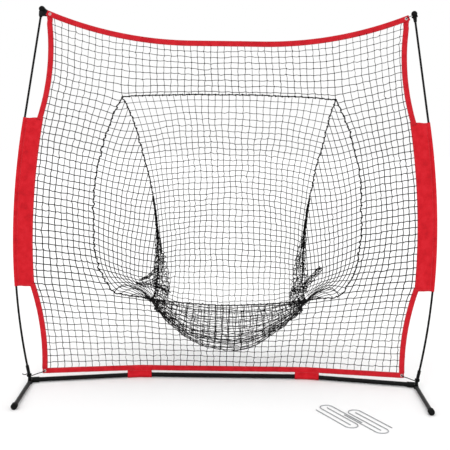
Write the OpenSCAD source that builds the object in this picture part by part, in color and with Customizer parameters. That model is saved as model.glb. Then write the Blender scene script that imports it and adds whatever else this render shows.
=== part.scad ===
// Bow-framed practice net with a catching pocket, for pitching and batting.
// Two sprung rods stand in sockets at the ends of a three-piece base and stretch a bordered net.
// +X runs to the right along the base, +Y to the back, where the pocket hangs, and +Z up.
// The origin is on the floor at the middle of the part's own box.

/* [Base frame] */
// Outer diameter of the base tubes
base_tube_d = 25; // [20:0.5:28]
// Wall of the base tubes and of the legs
tube_wall = 1.5; // [1:0.1:2.5]
// Distance from the middle to each bend of the base
bend_x = 486; // [420:1:560]
// How far the hubs stand in front of the middle tube
hub_forward = 125; // [60:1:200]
// How far the bent joint pieces reach into each tube
elbow_reach = 60; // [30:1:90]
// Radial clearance between a tube and what slides into it
slip_fit = 0.25; // [0.1:0.05:0.5]

/* [Hubs and legs] */
// Outer diameter of the hub sleeve
hub_sleeve_d = 31; // [30:0.5:32]
// Length of the hub sleeve
hub_sleeve_len = 62; // [50:1:90]
// Distance of the leg pivot in front of the base tube's axis
pivot_offset = 28; // [27:0.5:36]
// Thickness of each pivot lug
lug_t = 4; // [3:0.5:5]
// Height of the flattened eye of a leg
eye_t = 14; // [12:0.5:16]
// Diameter of the pivot bolt
bolt_d = 8; // [6:0.5:10]
// Radial clearance of the pivot bolt
bolt_fit = 0.05; // [0.02:0.01:0.1]
// Outer diameter of a leg
leg_d = 22; // [18:0.5:24]
// Distance from a pivot to the middle of its foot cap
leg_len = 396; // [300:1:420]
// Angle by which the open legs point inward
leg_toe = 2; // [0:0.5:6]
// Diameter of the rubber foot caps, which sets the height of the base
foot_d = 33; // [33:0.5:36]
// Length of the rubber foot caps
foot_len = 34; // [26:1:50]

/* [Poles] */
// Diameter of the fibreglass rods
pole_d = 12; // [9:0.5:12]
// Half the width across the rods where they bow out most
pole_reach = 1187; // [1150:1:1230]
// Outward lean of the sockets
socket_angle = 12.4; // [9:0.1:14]
// Backward lean of the poles
lean_angle = 3.4; // [2:0.1:5]
// Height of the socket's top over the hub
socket_top = 84; // [60:1:100]
// Height along the pole of its widest point, where its lower and middle lengths meet
waist_v = 815; // [780:1:850]
// Height along the pole where its middle and upper lengths meet
tip_start_v = 1440; // [1410:1:1446]
// Height along the pole of its ball's middle
ball_v = 2090; // [2070:1:2110]
// Inward lean of the straight upper length
tip_angle = 8.6; // [7.5:0.1:9.2]
// Length of the ferrules over the joints
ferrule_len = 60; // [40:1:64]
// Diameter of the ball on the tip
ball_d = 34; // [26:1:40]

/* [Net and borders] */
// Width of the webbing borders
border_w = 28; // [20:1:36]
// Thickness of the webbing borders
border_t = 3; // [2:0.5:4]
// Height along the poles of the top border's upper edge, at its middle
top_mid_v = 1924; // [1850:1:1960]
// Half the flat middle stretch of the top border
top_flat = 200; // [100:1:400]
// Radius of the top border's rise to the corners
top_radius = 2150; // [1900:1:2600]
// How far the top corners stand in from the poles' widest point
corner_inset = 173; // [163:1:197]
// How far the waist of the upper side borders stands in from it
upper_inset = 197; // [187:1:212]
// Radius of the upper side borders
upper_border_radius = 1290; // [1200:1:1400]
// Height of that waist along the poles
upper_waist_v = 1867; // [1820:1:1900]
// How far the lower side borders stand in from it
lower_inset = 177; // [167:1:187]
// Radius of the lower side borders
lower_border_radius = 1368; // [1200:1:1500]
// Height along the poles where the lower side borders begin to spread
lower_spread_v = 100; // [80:1:120]
// Height of the bottom border's middle line between the wraps
bottom_border_z = 57; // [50:1:70]
// Rise of the bottom border from each wrap to its corner
corner_rise = 13; // [0:1:20]
// Lower edge of the pole sleeve panels, along the poles
panel_bottom_v = 532; // [480:1:560]
// Upper edge of the pole sleeve panels, along the poles
panel_top_v = 1484; // [1440:1:1500]
// Width of the pole sleeve panels, from the pole's axis to the net
panel_w = 103; // [95:1:112]
// Thickness of the panel's two layers of cloth
panel_t = 2; // [1.5:0.1:3]
// Width of the wraps that tie the net to the base
wrap_len = 140; // [100:1:170]
// Width of a mesh strand as drawn
strand_w = 5; // [3:0.5:7]
// Thickness of a mesh strand as drawn
strand_t = 3; // [2:0.5:4]

/* [Pocket] */
// Half the width of the mouth at its top corners
mouth_top_x = 600; // [560:1:640]
// Half the width of the mouth where it is widest
mouth_mid_x = 760; // [730:1:790]
// Half the width of the mouth at its lower corners
mouth_low_x = 645; // [600:1:680]
// Height of the mouth's top corners
mouth_top_z = 1618; // [1560:1:1660]
// Height where the mouth is widest
mouth_mid_z = 930; // [850:1:1000]
// Height of the mouth's lower corners
mouth_low_z = 500; // [470:1:540]
// Height of the middle of the mouth's lower edge
mouth_sill_z = 431; // [400:1:460]
// Depth of the pocket
pocket_depth = 540; // [420:1:560]
// Diameter of the cord round the mouth
mouth_cord_d = 6; // [4:0.5:8]
// Diameter of the cords along the pocket's seams
seam_cord_d = 5; // [3:0.5:7]
// Sideways slack of the pocket
pocket_drift = 30; // [0:1:50]
// Share by which the pocket's sides are shallower than its middle
side_shallow = 0.15; // [0:0.01:0.3]

/* [Ground pegs] */
// Diameter of the peg wire
peg_d = 5; // [4:0.5:7]
// Distance between a peg's two legs, axis to axis
peg_gap = 70; // [50:1:90]
// Length of a peg
peg_len = 290; // [220:1:320]
// Direction in which the laid-out pegs point
peg_angle = -62; // [-90:1:-40]
// How far the two pegs of a pair are slid apart
peg_slide = 40; // [20:1:60]
// Place of the first pair, from the middle of the base
first_pair = [590, -590];
// Place of the second pair
second_pair = [728, -655];

/* [Hidden] */

fine = 64;
rod_sides = 48;
touch = 0.3;
left = -1;
right = 1;

steel_black = "#1d1e20";
rod_black = "#26272a";
rubber_black = "#141414";
webbing_red = "#d5222b";
mesh_black = "#1a1a1c";
zinc = "#b9bcc0";
wire_grey = "#9a9da1";

// Height of the base tubes' axis; the foot caps and the wraps are cut flat where they stand
flat_cut = 0.5;
base_z = foot_d / 2 - flat_cut;

// Rods: each lower and middle length is an arc, each upper length is straight; a length is in its socket
// where the arc leans as the socket does
socket_mid = socket_top * 0.6;
lower_radius = (waist_v - socket_mid) / sin(socket_angle);
middle_radius = (tip_start_v - waist_v) / sin(tip_angle);
lower_middle = [pole_reach - lower_radius, waist_v];
upper_middle = [pole_reach - middle_radius, waist_v];
hub_x = pole_reach - lower_radius * (1 - cos(socket_angle)) - socket_mid * tan(socket_angle);
tip_start = upper_middle + middle_radius * [cos(tip_angle), sin(tip_angle)];
tip_run = (ball_v - tip_start_v) / cos(tip_angle);
ball_middle = tip_start + tip_run * [-sin(tip_angle), cos(tip_angle)];
pole_seat_v = hub_sleeve_d / 2 + 1;

// Base arms
arm_run = sqrt(pow(hub_x - bend_x, 2) + pow(hub_forward, 2));
arm_angle = atan(hub_forward / (hub_x - bend_x));
tube_bore = base_tube_d - 2 * tube_wall;
fold_toe = leg_toe + arm_angle;

// Borders: half the width at the top corners and at the waists of the side borders
top_corner_x = pole_reach - corner_inset;
upper_waist = pole_reach - upper_inset;
lower_waist = pole_reach - lower_inset;
top_rise_middle = top_mid_v + top_radius;
top_low_radius = top_radius + border_w;
corner_z = bottom_border_z + corner_rise;
channel_r = pole_d / 2 + 2.2;
channel_straight = 6;
sleeve_wall = 0.9;

// Height over the floor of a point v up the leaning poles, and its depth
function lean_z(v) = base_z + v * cos(lean_angle);
function lean_y(v) = -hub_forward + v * sin(lean_angle);
function lean_v(z) = (z - base_z) / cos(lean_angle);

// Half the width between the borders' inner edges at v
function net_edge(v) =
    v < lower_spread_v ? lower_waist - border_w / 2
    : v < panel_bottom_v ? lower_waist + lower_border_radius
        - sqrt(pow(lower_border_radius + border_w / 2, 2) - pow(v - lower_spread_v, 2))
    : v < waist_v ? lower_middle[0] + sqrt(pow(lower_radius - panel_w, 2) - pow(v - waist_v, 2))
    : v < panel_top_v ? upper_middle[0] + sqrt(pow(middle_radius - panel_w, 2) - pow(v - waist_v, 2))
    : upper_waist + upper_border_radius
        - sqrt(pow(upper_border_radius + border_w / 2, 2) - pow(v - upper_waist_v, 2));

// Height of the top border's lower edge and of the bottom border's upper edge at x
function under_top(x) = lean_z(abs(x) < top_flat ? top_mid_v - border_w
    : top_rise_middle - sqrt(pow(top_low_radius, 2) - pow(abs(x) - top_flat, 2)));
corner_x = lower_waist - border_w / 2;
function bottom_middle(x) = bottom_border_z + corner_rise
    * min(1, max(0, abs(x) - bend_x) / (corner_x - bend_x));
function over_bottom(x) = bottom_middle(x) + border_w / 2;

// Depth of the net: nearly upright in the middle, in the plane of the poles at its sides
top_lean = lean_y(top_mid_v) / lean_z(top_mid_v);
function net_y(x, z) = let (
        edge = net_edge(lean_v(z)),
        share = max(0, min(1, (abs(x) - bend_x) / (edge - bend_x))))
    z * top_lean * (1 - share) + lean_y(lean_v(z)) * share;

// Mouth of the pocket
function mouth_side(z) = z > mouth_mid_z
    ? mouth_mid_x - (mouth_mid_x - mouth_top_x) * pow((z - mouth_mid_z) / (mouth_top_z - mouth_mid_z), 2.4)
    : mouth_mid_x - (mouth_mid_x - mouth_low_x) * pow((mouth_mid_z - z) / (mouth_mid_z - mouth_low_z), 3.2);
function mouth_top(x) = mouth_top_z + 12 * max(0, 1 - pow(x / mouth_top_x, 2));
function mouth_sill(x) = mouth_sill_z
    + (mouth_low_z - mouth_sill_z) * pow(min(1, abs(x) / mouth_low_x), 1.8);

// Middle line of the pocket from the top of the mouth round to its sill: depth, height,
// half width and how much its sides are raised, as shares of the pocket's and mouth's sizes
sill_half = mouth_low_x * 2 / 3;
function pocket_row(depth, height, half, rise) =
    [pocket_depth * depth, mouth_top_z * height, mouth_top_x * half, mouth_top_z * rise];
pocket_line = [
    [mouth_cord_d - 1, mouth_top_z + mouth_cord_d, mouth_top_x - mouth_cord_d, -mouth_cord_d],
    pocket_row(0.278, 0.853, 0.917, 0),
    pocket_row(0.546, 0.698, 0.833, 0),
    pocket_row(0.778, 0.538, 0.783, 0),
    pocket_row(0.944, 0.383, 0.767, 0),
    pocket_row(1, 0.253, 0.777, 0.025),
    pocket_row(0.889, 0.133, 0.79, 0.102),
    pocket_row(0.611, 0.068, 0.797, 0.162),
    pocket_row(0.306, 0.074, 0.79, 0.1545),
    pocket_row(0.102, 0.1545, 0.758, 0.102),
    [mouth_cord_d - 1, mouth_sill_z, sill_half, mouth_top_z * 0.02]];
pocket_steps = len(pocket_line) - 1;
function curve_mix(a, b, c, d, t) = 0.5 * ((2 * b) + (c - a) * t
    + (2 * a - 5 * b + 4 * c - d) * t * t + (3 * b - a - 3 * c + d) * t * t * t);
function line_at(s) = let (k = min(pocket_steps - 1, floor(s)), t = s - k)
    curve_mix(pocket_line[max(0, k - 1)], pocket_line[k], pocket_line[k + 1],
        pocket_line[min(pocket_steps, k + 2)], t);
// Point of the pocket: u from -1 to 1 across, s from 0 at the mouth's top to its sill
function pocket_point(u, s) = let (p = line_at(s), mid = sin(180 * s / pocket_steps))
    [pocket_drift * mid + u * p[2],
     p[0] * (1 - side_shallow * u * u),
     p[1] + p[3] * pow(abs(u), 2.6)];

// Side of the mouth and its lower corner, t from 0 at the top corner to 1 at the pocket's front edge
side_share = 0.74;
function mouth_rim(side, t) = t < side_share
    ? let (z = mouth_top_z - (mouth_top_z - mouth_low_z) * t / side_share)
        [side * mouth_side(z), net_y(mouth_side(z), z), z]
    : let (x = mouth_low_x - (mouth_low_x - sill_half) * (t - side_share) / (1 - side_share))
        [side * x, net_y(x, mouth_sill(x)), mouth_sill(x)];

function unit(v) = v / norm(v);

// A mesh of flat strands over a grid of points; rows and columns are its strands
module mesh_panel(grid) {
    rows = len(grid);
    cols = len(grid[0]);
    function along(j, i) = unit(grid[j][min(cols - 1, i + 1)] - grid[j][max(0, i - 1)]);
    function up(j, i) = unit(grid[min(rows - 1, j + 1)][i] - grid[max(0, j - 1)][i]);
    points = [for (j = [0 : rows - 1], i = [0 : cols - 1])
        let (a = along(j, i), b = up(j, i), n = unit(cross(a, b)))
        for (k = [-1, 1], q = [[-1, -1], [1, -1], [1, 1], [-1, 1]])
            grid[j][i] + (a * q[0] + b * q[1]) * strand_w / 2 + n * k * strand_t / 2];
    // Corner q of the crossing at row j and column i, on its back or front
    function at(j, i, front, q) = 8 * (j * cols + i) + 4 * front + q;
    function quad(a, b, c, d) = [[a, b, c], [a, c, d]];
    faces = [for (j = [0 : rows - 1], i = [0 : cols - 1]) each concat(
        quad(at(j, i, 1, 3), at(j, i, 1, 2), at(j, i, 1, 1), at(j, i, 1, 0)),
        quad(at(j, i, 0, 0), at(j, i, 0, 1), at(j, i, 0, 2), at(j, i, 0, 3)),
        i == 0 ? quad(at(j, i, 0, 0), at(j, i, 0, 3), at(j, i, 1, 3), at(j, i, 1, 0)) : [],
        j == 0 ? quad(at(j, i, 0, 1), at(j, i, 0, 0), at(j, i, 1, 0), at(j, i, 1, 1)) : [],
        i == cols - 1
            ? quad(at(j, i, 0, 2), at(j, i, 0, 1), at(j, i, 1, 1), at(j, i, 1, 2))
            : concat(
                quad(at(j, i, 1, 2), at(j, i + 1, 1, 3), at(j, i + 1, 1, 0), at(j, i, 1, 1)),
                quad(at(j, i, 0, 1), at(j, i + 1, 0, 0), at(j, i + 1, 0, 3), at(j, i, 0, 2)),
                quad(at(j, i, 0, 2), at(j, i + 1, 0, 3), at(j, i + 1, 1, 3), at(j, i, 1, 2)),
                quad(at(j, i, 1, 1), at(j, i + 1, 1, 0), at(j, i + 1, 0, 0), at(j, i, 0, 1))),
        j == rows - 1
            ? quad(at(j, i, 0, 3), at(j, i, 0, 2), at(j, i, 1, 2), at(j, i, 1, 3))
            : concat(
                quad(at(j + 1, i, 1, 0), at(j + 1, i, 1, 1), at(j, i, 1, 2), at(j, i, 1, 3)),
                quad(at(j + 1, i, 0, 1), at(j + 1, i, 0, 0), at(j, i, 0, 3), at(j, i, 0, 2)),
                quad(at(j, i, 0, 3), at(j + 1, i, 0, 0), at(j + 1, i, 1, 0), at(j, i, 1, 3)),
                quad(at(j, i, 1, 2), at(j + 1, i, 1, 1), at(j + 1, i, 0, 1), at(j, i, 0, 2))))];
    polyhedron(points, faces);
}

// A cord swept along a list of points, closed into a loop or with flat ends
module cord(path, d, sides = 6, loop = false) {
    n = len(path);
    rings = [for (i = [0 : n - 1]) let (
            back = loop ? path[(i + n - 1) % n] : path[max(0, i - 1)],
            ahead = loop ? path[(i + 1) % n] : path[min(n - 1, i + 1)],
            t = unit(ahead - back),
            a = unit(cross(t, [0.31, -0.9, 0.27])),
            b = cross(t, a))
        for (k = [0 : sides - 1])
            path[i] + d / 2 * (a * cos(360 * k / sides) + b * sin(360 * k / sides))];
    spans = loop ? n : n - 1;
    walls = [for (i = [0 : spans - 1], k = [0 : sides - 1]) let (
            a = i * sides, b = ((i + 1) % n) * sides, m = (k + 1) % sides)
        each [[a + k, a + m, b + m], [a + k, b + m, b + k]]];
    ends = loop ? [] : [[for (k = [sides - 1 : -1 : 0]) k],
        [for (k = [0 : sides - 1]) (n - 1) * sides + k]];
    polyhedron(rings, concat([for (f = walls) [f[2], f[1], f[0]]],
        [for (f = ends) [for (k = [len(f) - 1 : -1 : 0]) f[k]]]));
}

// Grids of the mesh panels
net_cols = 18;
net_rows = 3;
side_cols = 3;
side_rows = 10;
function mix(a, b, t) = a + (b - a) * t;
clear_edge = strand_w / 2 + touch;
clear_cord = strand_w / 2 + mouth_cord_d / 2 + touch;
clear_bow = clear_edge + 2.4;
function on_net(x, z) = [x, net_y(x, z), z];
function upper_z(x, t) = mix(mouth_top(x) + clear_cord, under_top(x) - clear_edge - 1, t);
function lower_z(x, t) = mix(over_bottom(x) + clear_edge, mouth_sill(x) - clear_cord, t);
function reach_at(z) = net_edge(lean_v(z)) - clear_bow;
upper_grid = [for (j = [0 : net_rows]) [for (i = [0 : net_cols]) let (
        f = 2 * i / net_cols - 1,
        near = f * reach_at(upper_z(f * upper_waist, j / net_rows)),
        x = f * reach_at(upper_z(near, j / net_rows)))
    on_net(x, upper_z(x, j / net_rows))]];
lower_grid = [for (j = [0 : net_rows]) [for (i = [0 : net_cols]) let (
        f = 2 * i / net_cols - 1,
        near = f * reach_at(lower_z(f * lower_waist, j / net_rows)),
        x = f * reach_at(lower_z(near, j / net_rows)))
    on_net(x, lower_z(x, j / net_rows))]];
function side_grid(side) = [for (j = [0 : side_rows]) [for (i = [0 : side_cols]) let (
        z = mix(mouth_low_z, mouth_top_z, j / side_rows),
        inner = mouth_side(z) + clear_cord + 4.8,
        outer = reach_at(z),
        x = side > 0 ? mix(inner, outer, i / side_cols) : -mix(outer, inner, i / side_cols))
    on_net(x, z)]];

pocket_cols = 7;
back_rows = 8;
bag_rows = 6;
back_end = 5;
pocket_inset = seam_cord_d / 2 + clear_edge;
cord_standoff = mouth_cord_d / 2 + touch + 1;
function strip_point(i, s) = let (
        half = norm(pocket_point(1, s) - pocket_point(0, s)),
        u = (2 * i / pocket_cols - 1) * (1 - pocket_inset / half))
    pocket_point(u, s) + [0, cord_standoff * max(0, 1 - s * 2) + cord_standoff
        * max(0, 1 - (pocket_steps - s) * 2), 0];
back_grid = [for (j = [0 : back_rows]) [for (i = [0 : pocket_cols])
    strip_point(i, back_end * j / back_rows)]];
bag_start = back_end + 0.02;
bag_grid = [for (j = [0 : bag_rows]) [for (i = [0 : pocket_cols])
    strip_point(i, mix(bag_start + 0.03, pocket_steps - 0.06, j / bag_rows))]];

gusset_rows = 5;
gusset_cols = 3;
gusset_first = 0.16;
function seam_point(side, t) = pocket_point(side, t * pocket_steps);
// A gusset hangs between the mouth's side and the pocket's seam, with a little slack
function gusset_grid(side) = [for (j = [0 : gusset_rows]) let (
        t = mix(gusset_first, 0.93, j / gusset_rows),
        rim = mouth_rim(side, t),
        seam = seam_point(side, t),
        away = unit(seam - rim),
        a = rim + away * clear_cord,
        b = seam - away * pocket_inset)
    [for (i = [0 : gusset_cols]) let (f = i / gusset_cols)
        mix(a, b, side > 0 ? 1 - f : f) - [0, 0, 30 * sin(180 * f) * sin(180 * t)]]];

// The part's box, front to back, sets where its middle is
peg_bow = peg_gap / 2 + peg_d / 2;
peg_half = (peg_len + peg_slide) / 2;
front_reach = second_pair[1] + (peg_half - peg_bow) * sin(peg_angle)
    - peg_gap / 4 * cos(peg_angle) - peg_bow;
back_reach = max([for (row = concat(back_grid, bag_grid), p = row) p[1]]) + strand_t / 2;
middle_y = -(front_reach + back_reach) / 2;

module placed() translate([0, middle_y, 0]) children();

// Stand children in the leaning plane of the poles: their X outward, their Y up the pole
module pole_plane(side) placed()
    mirror([side < 0 ? 1 : 0, 0, 0])
        translate([0, -hub_forward, base_z]) rotate([90 - lean_angle, 0, 0]) children();

// Stand children at a hub: their X along the arm outward, their Y to the back
module hub_frame(side) placed()
    mirror([side < 0 ? 1 : 0, 0, 0])
        translate([hub_x, -hub_forward, base_z]) rotate([0, 0, -arm_angle]) children();

// Stand children at a leg's pivot: their X along the open leg
module leg_frame(side) hub_frame(side)
    translate([0, -pivot_offset, 0]) rotate([0, 0, -90 - leg_toe + arm_angle]) children();

module rod_x(d, length) rotate([0, 90, 0]) cylinder(d = d, h = length, $fn = rod_sides);

// ---- base ----
// Each elbow is a pair of twelve-sided spigots that butt at the bend, a push fit in both tubes
spigot_d = tube_bore - 2 * slip_fit;
spigot_wall = 2.5;
mitre = arm_angle / 2;
tube_stop = base_tube_d / 2 * tan(mitre) + touch;
seam = 0.1;
module beyond_bend(from = 0) rotate([0, 0, -mitre]) translate([from, -60, -60])
    cube([arm_run + 100, 120, 120]);

module tube_x(d, bore, length) rotate([90, 0, 90]) linear_extrude(length) difference() {
    circle(d = d, $fn = rod_sides);
    circle(d = bore, $fn = rod_sides);
}

module base_center_tube() color(steel_black) placed()
    translate([-bend_x + tube_stop, 0, base_z]) tube_x(base_tube_d, tube_bore, 2 * (bend_x - tube_stop));

module base_arm(side) color(steel_black) placed() mirror([side < 0 ? 1 : 0, 0, 0])
    translate([bend_x, 0, base_z]) rotate([0, 0, -arm_angle]) difference() {
        translate([tube_stop, 0, 0]) tube_x(base_tube_d, tube_bore, arm_run + arm_past - tube_stop);
        translate([arm_run - rivet_back, 0, 0]) rotate([90, 0, 0])
            cylinder(d = rivet_d + 2 * bolt_fit, h = base_tube_d * 2, center = true, $fn = fine);
    }

module spigot(from, length) rotate([90, 0, 90]) translate([0, 0, from]) linear_extrude(length)
    difference() {
        circle(d = spigot_d, $fn = 12);
        circle(d = spigot_d - 2 * spigot_wall, $fn = 12);
    }

module base_elbow(side) color(zinc) placed() mirror([side < 0 ? 1 : 0, 0, 0])
    translate([bend_x, 0, base_z]) {
        difference() {
            spigot(-elbow_reach, elbow_reach + 10);
            beyond_bend();
        }
        intersection() {
            rotate([0, 0, -arm_angle]) spigot(-10, elbow_reach + 10);
            beyond_bend(seam);
        }
    }

// ---- hubs ----
rivet_d = 5;
rivet_back = 34;
hub_back = 12;
arm_past = 7;
lug_gap = eye_t + 0.6;
lug_r = 12;
socket_wall = 3;

module hub_solid() {
    translate([hub_back - hub_sleeve_len, 0, 0]) rod_x(hub_sleeve_d, hub_sleeve_len);
    for (top = [0, 1]) mirror([0, 0, 1 - top]) translate([0, 0, lug_gap / 2]) linear_extrude(lug_t) {
        translate([0, -pivot_offset]) circle(r = lug_r, $fn = fine);
        translate([-lug_r, -pivot_offset]) square([2 * lug_r, pivot_offset]);
    }
}

module hub(side) color(steel_black) difference() {
    union() {
        hub_frame(side) hub_solid();
        pole_plane(side) translate([hub_x, 0, 0]) rotate([0, 0, -socket_angle]) rotate([-90, 0, 0])
            translate([0, 0, 8]) cylinder(d = pole_d + 2 * slip_fit + 2 * socket_wall,
                h = socket_top - 8, $fn = rod_sides);
    }
    hub_frame(side) {
        translate([-hub_sleeve_len, 0, 0])
            rod_x(base_tube_d + 2 * slip_fit, hub_sleeve_len + arm_past + touch);
        translate([0, -pivot_offset, 0])
            cylinder(d = bolt_d + 2 * bolt_fit, h = 60, center = true, $fn = fine);
        translate([-rivet_back, 0, 0]) rotate([90, 0, 0])
            cylinder(d = rivet_d + 2 * bolt_fit, h = 60, center = true, $fn = fine);
    }
    pole_plane(side) translate([hub_x, 0, 0]) rotate([0, 0, -socket_angle]) rotate([-90, 0, 0])
        translate([0, 0, pole_seat_v]) cylinder(d = pole_d + 2 * slip_fit, h = socket_top, $fn = rod_sides);
}

module hub_rivets() color(zinc) for (side = [left, right])
    hub_frame(side) translate([-rivet_back, 0, 0]) rotate([90, 0, 0]) {
        cylinder(d = rivet_d, h = hub_sleeve_d + 1, center = true, $fn = fine);
        for (end = [0, 1]) mirror([0, 0, end]) translate([0, 0, hub_sleeve_d / 2 + 0.2])
            cylinder(d1 = rivet_d * 2, d2 = rivet_d, h = 2, $fn = fine);
    }

// ---- legs ----
eye_r = leg_d / 2;
flat_run = 16;
flare_run = 42;

module leg(side) color(steel_black) leg_frame(side) difference() {
    union() {
        cylinder(r = eye_r, h = eye_t, center = true, $fn = fine);
        intersection() {
            rod_x(leg_d, leg_len);
            rotate([90, 0, 0]) linear_extrude(leg_d * 2, center = true)
                polygon([[0, -eye_t / 2], [flat_run, -eye_t / 2], [flare_run, -leg_d / 2],
                    [leg_len, -leg_d / 2], [leg_len, leg_d / 2], [flare_run, leg_d / 2],
                    [flat_run, eye_t / 2], [0, eye_t / 2]]);
        }
        translate([0, -eye_r, -eye_t / 2]) cube([flat_run, 2 * eye_r, eye_t]);
    }
    translate([flare_run + 6, 0, 0]) rod_x(leg_d - 2 * tube_wall, leg_len);
    cylinder(d = bolt_d + 2 * bolt_fit, h = eye_t * 2, center = true, $fn = fine);
}

module foot_cap(side) color(rubber_black) leg_frame(side) difference() {
    translate([leg_len - foot_len / 2, 0, 0]) rotate([0, 90, 0]) rotate_extrude($fn = rod_sides)
        polygon(concat([[0, 0], [foot_d / 2 - 2, 0]],
            [for (a = [0 : 30 : 90]) [foot_d / 2 - 2 + 2 * sin(a), 2 - 2 * cos(a)]],
            [for (a = [0 : 15 : 90]) [foot_d / 2 - 9 + 9 * cos(a), foot_len - 9 + 9 * sin(a)]],
            [[0, foot_len]]));
    translate([leg_len - foot_len / 2 - 1, 0, 0]) rod_x(leg_d + 2 * slip_fit, foot_len / 2 + 1 + slip_fit);
    translate([leg_len - foot_len, -foot_d, -base_z - 10]) cube([2 * foot_len, 2 * foot_d, 10]);
}

bolt_head_h = 3.6;
module pivot_bolts() color(zinc) for (side = [left, right])
    leg_frame(side) {
        translate([0, 0, -lug_gap / 2 - lug_t - bolt_head_h])
            cylinder(d1 = bolt_d * 1.4, d2 = bolt_d * 2, h = bolt_head_h, $fn = fine);
        translate([0, 0, -lug_gap / 2 - lug_t - 1])
            cylinder(d = bolt_d, h = lug_gap + 2 * lug_t + 11, $fn = fine);
    }

module pivot_nuts() color(zinc) for (side = [left, right])
    leg_frame(side) translate([0, 0, lug_gap / 2 + lug_t]) difference() {
        union() {
            cylinder(d = bolt_d * 2, h = 1.2, $fn = fine);
            cylinder(d = bolt_d * 1.85, h = 7, $fn = 6);
        }
        translate([0, 0, -1]) cylinder(d = bolt_d + 2 * bolt_fit, h = 20, $fn = fine);
    }

// ---- poles ----
// The section drawn at the origin is swept up or down round a bend's middle
module bend_up(middle, radius, from, to)
    translate(middle) rotate([0, 0, from]) rotate_extrude(angle = to - from, $fn = rod_sides * 4)
        translate([radius, 0]) children();
module bend_down(middle, radius, from, to)
    translate(middle) mirror([0, 1, 0]) rotate([0, 0, from])
        rotate_extrude(angle = to - from, $fn = rod_sides * 4) translate([radius, 0]) children();
// A straight length of the section from a point up the pole
module rod_up(start, lean, length)
    translate(start) rotate([0, 0, lean]) rotate([-90, 0, 0]) linear_extrude(length)
        mirror([0, 1]) children();
function lower_turn(v) = asin((waist_v - v) / lower_radius);
function upper_turn(v) = asin((v - waist_v) / middle_radius);
joint_half = touch / 2;
pole_foot_v = (pole_seat_v + touch) * cos(socket_angle) + 0.1;

module pole_lower(side) color(rod_black) pole_plane(side)
    bend_down(lower_middle, lower_radius, lower_turn(waist_v - joint_half), lower_turn(pole_foot_v))
        circle(d = pole_d, $fn = rod_sides);

module pole_middle(side) color(rod_black) pole_plane(side)
    bend_up(upper_middle, middle_radius, upper_turn(waist_v + joint_half),
        upper_turn(tip_start_v - joint_half)) circle(d = pole_d, $fn = rod_sides);

module pole_upper(side) color(rod_black) pole_plane(side)
    rod_up(tip_start + joint_half * [-sin(tip_angle), cos(tip_angle)], tip_angle, tip_run - joint_half)
        circle(d = pole_d, $fn = rod_sides);

ferrule_fit = 0.2;
ferrule_wall = 1;
module ferrule_tube() difference() {
    circle(d = pole_d + 2 * (ferrule_fit + ferrule_wall), $fn = rod_sides);
    circle(d = pole_d + 2 * ferrule_fit, $fn = rod_sides);
}
module pole_ferrules(side) color(zinc) pole_plane(side) {
    rod_up([pole_reach, waist_v - ferrule_len / 2], 0, ferrule_len) ferrule_tube();
    rod_up(tip_start - ferrule_len / 2 * [-sin(tip_angle), cos(tip_angle)], tip_angle, ferrule_len)
        ferrule_tube();
}

neck_len = 46;
neck_r = 8.5;
function neck_at(h) = neck_r + (ball_d / 2 - 4 - neck_r) * (h + neck_len) / (neck_len - 6);
module pole_ball(side) color(rubber_black) pole_plane(side)
    translate(ball_middle) rotate([0, 0, tip_angle]) rotate([-90, 0, 0]) difference() {
        union() {
            sphere(d = ball_d, $fn = rod_sides);
            translate([0, 0, -neck_len]) cylinder(r1 = neck_r, r2 = ball_d / 2 - 4, h = neck_len - 6,
                $fn = rod_sides);
        }
        translate([0, 0, -neck_len - 1]) cylinder(d = pole_d + 2 * slip_fit, h = neck_len + 1 + slip_fit,
            $fn = rod_sides);
    }

// ---- borders ----
// A flat band bent round a middle in the plane of the poles
module band(middle, inner, outer, from, to, thick)
    translate(middle) rotate([0, 0, from]) rotate_extrude(angle = to - from, $fn = rod_sides * 4)
        translate([inner, -thick / 2]) square([outer - inner, thick]);

top_corner_turn = asin((top_corner_x - top_flat) / (top_radius + border_w / 2));
module border_top() color(webbing_red) pole_plane(right) difference() {
    union() {
        translate([-top_flat, top_mid_v - border_w, -border_t / 2]) cube([2 * top_flat, border_w, border_t]);
        for (side = [left, right]) mirror([side < 0 ? 1 : 0, 0, 0])
            band([top_flat, top_rise_middle], top_radius, top_low_radius,
                -90, -90 + top_corner_turn, border_t);
    }
    for (side = [left, right]) translate(grommet_top(side)) grommet_hole();
}

module border_upper(side) color(webbing_red) pole_plane(side) difference() {
    band([upper_waist + upper_border_radius, upper_waist_v], upper_border_radius - border_w / 2,
        upper_border_radius + border_w / 2,
        180 - asin((top_rise_middle - top_radius - upper_waist_v + 200) / upper_border_radius),
        180 + asin((upper_waist_v - panel_top_v + 30) / upper_border_radius), border_t);
    translate([top_flat, top_rise_middle, 0])
        cylinder(r = top_low_radius, h = 2 * border_t, center = true, $fn = rod_sides * 4);
    translate([0, panel_top_v - panel_w, -border_t]) cube([2 * pole_reach, panel_w, 2 * border_t]);
}

module border_lower(side) color(webbing_red) pole_plane(side) intersection() {
    band([lower_waist + lower_border_radius, lower_spread_v], lower_border_radius - border_w / 2,
        lower_border_radius + border_w / 2,
        180 - asin((panel_bottom_v - lower_spread_v + 30) / lower_border_radius),
        180 + asin((lower_spread_v - corner_z + 60) / lower_border_radius), border_t);
    translate([0, lean_v(corner_z + border_w / 2 + touch), -border_t])
        cube([2 * pole_reach, panel_bottom_v - lean_v(corner_z + border_w / 2 + touch), 2 * border_t]);
}

module sleeve_section() difference() {
    union() {
        circle(r = channel_r + sleeve_wall, $fn = rod_sides);
        translate([-panel_w, -panel_t / 2]) square([panel_w, panel_t]);
    }
    circle(r = channel_r, $fn = rod_sides);
}

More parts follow.
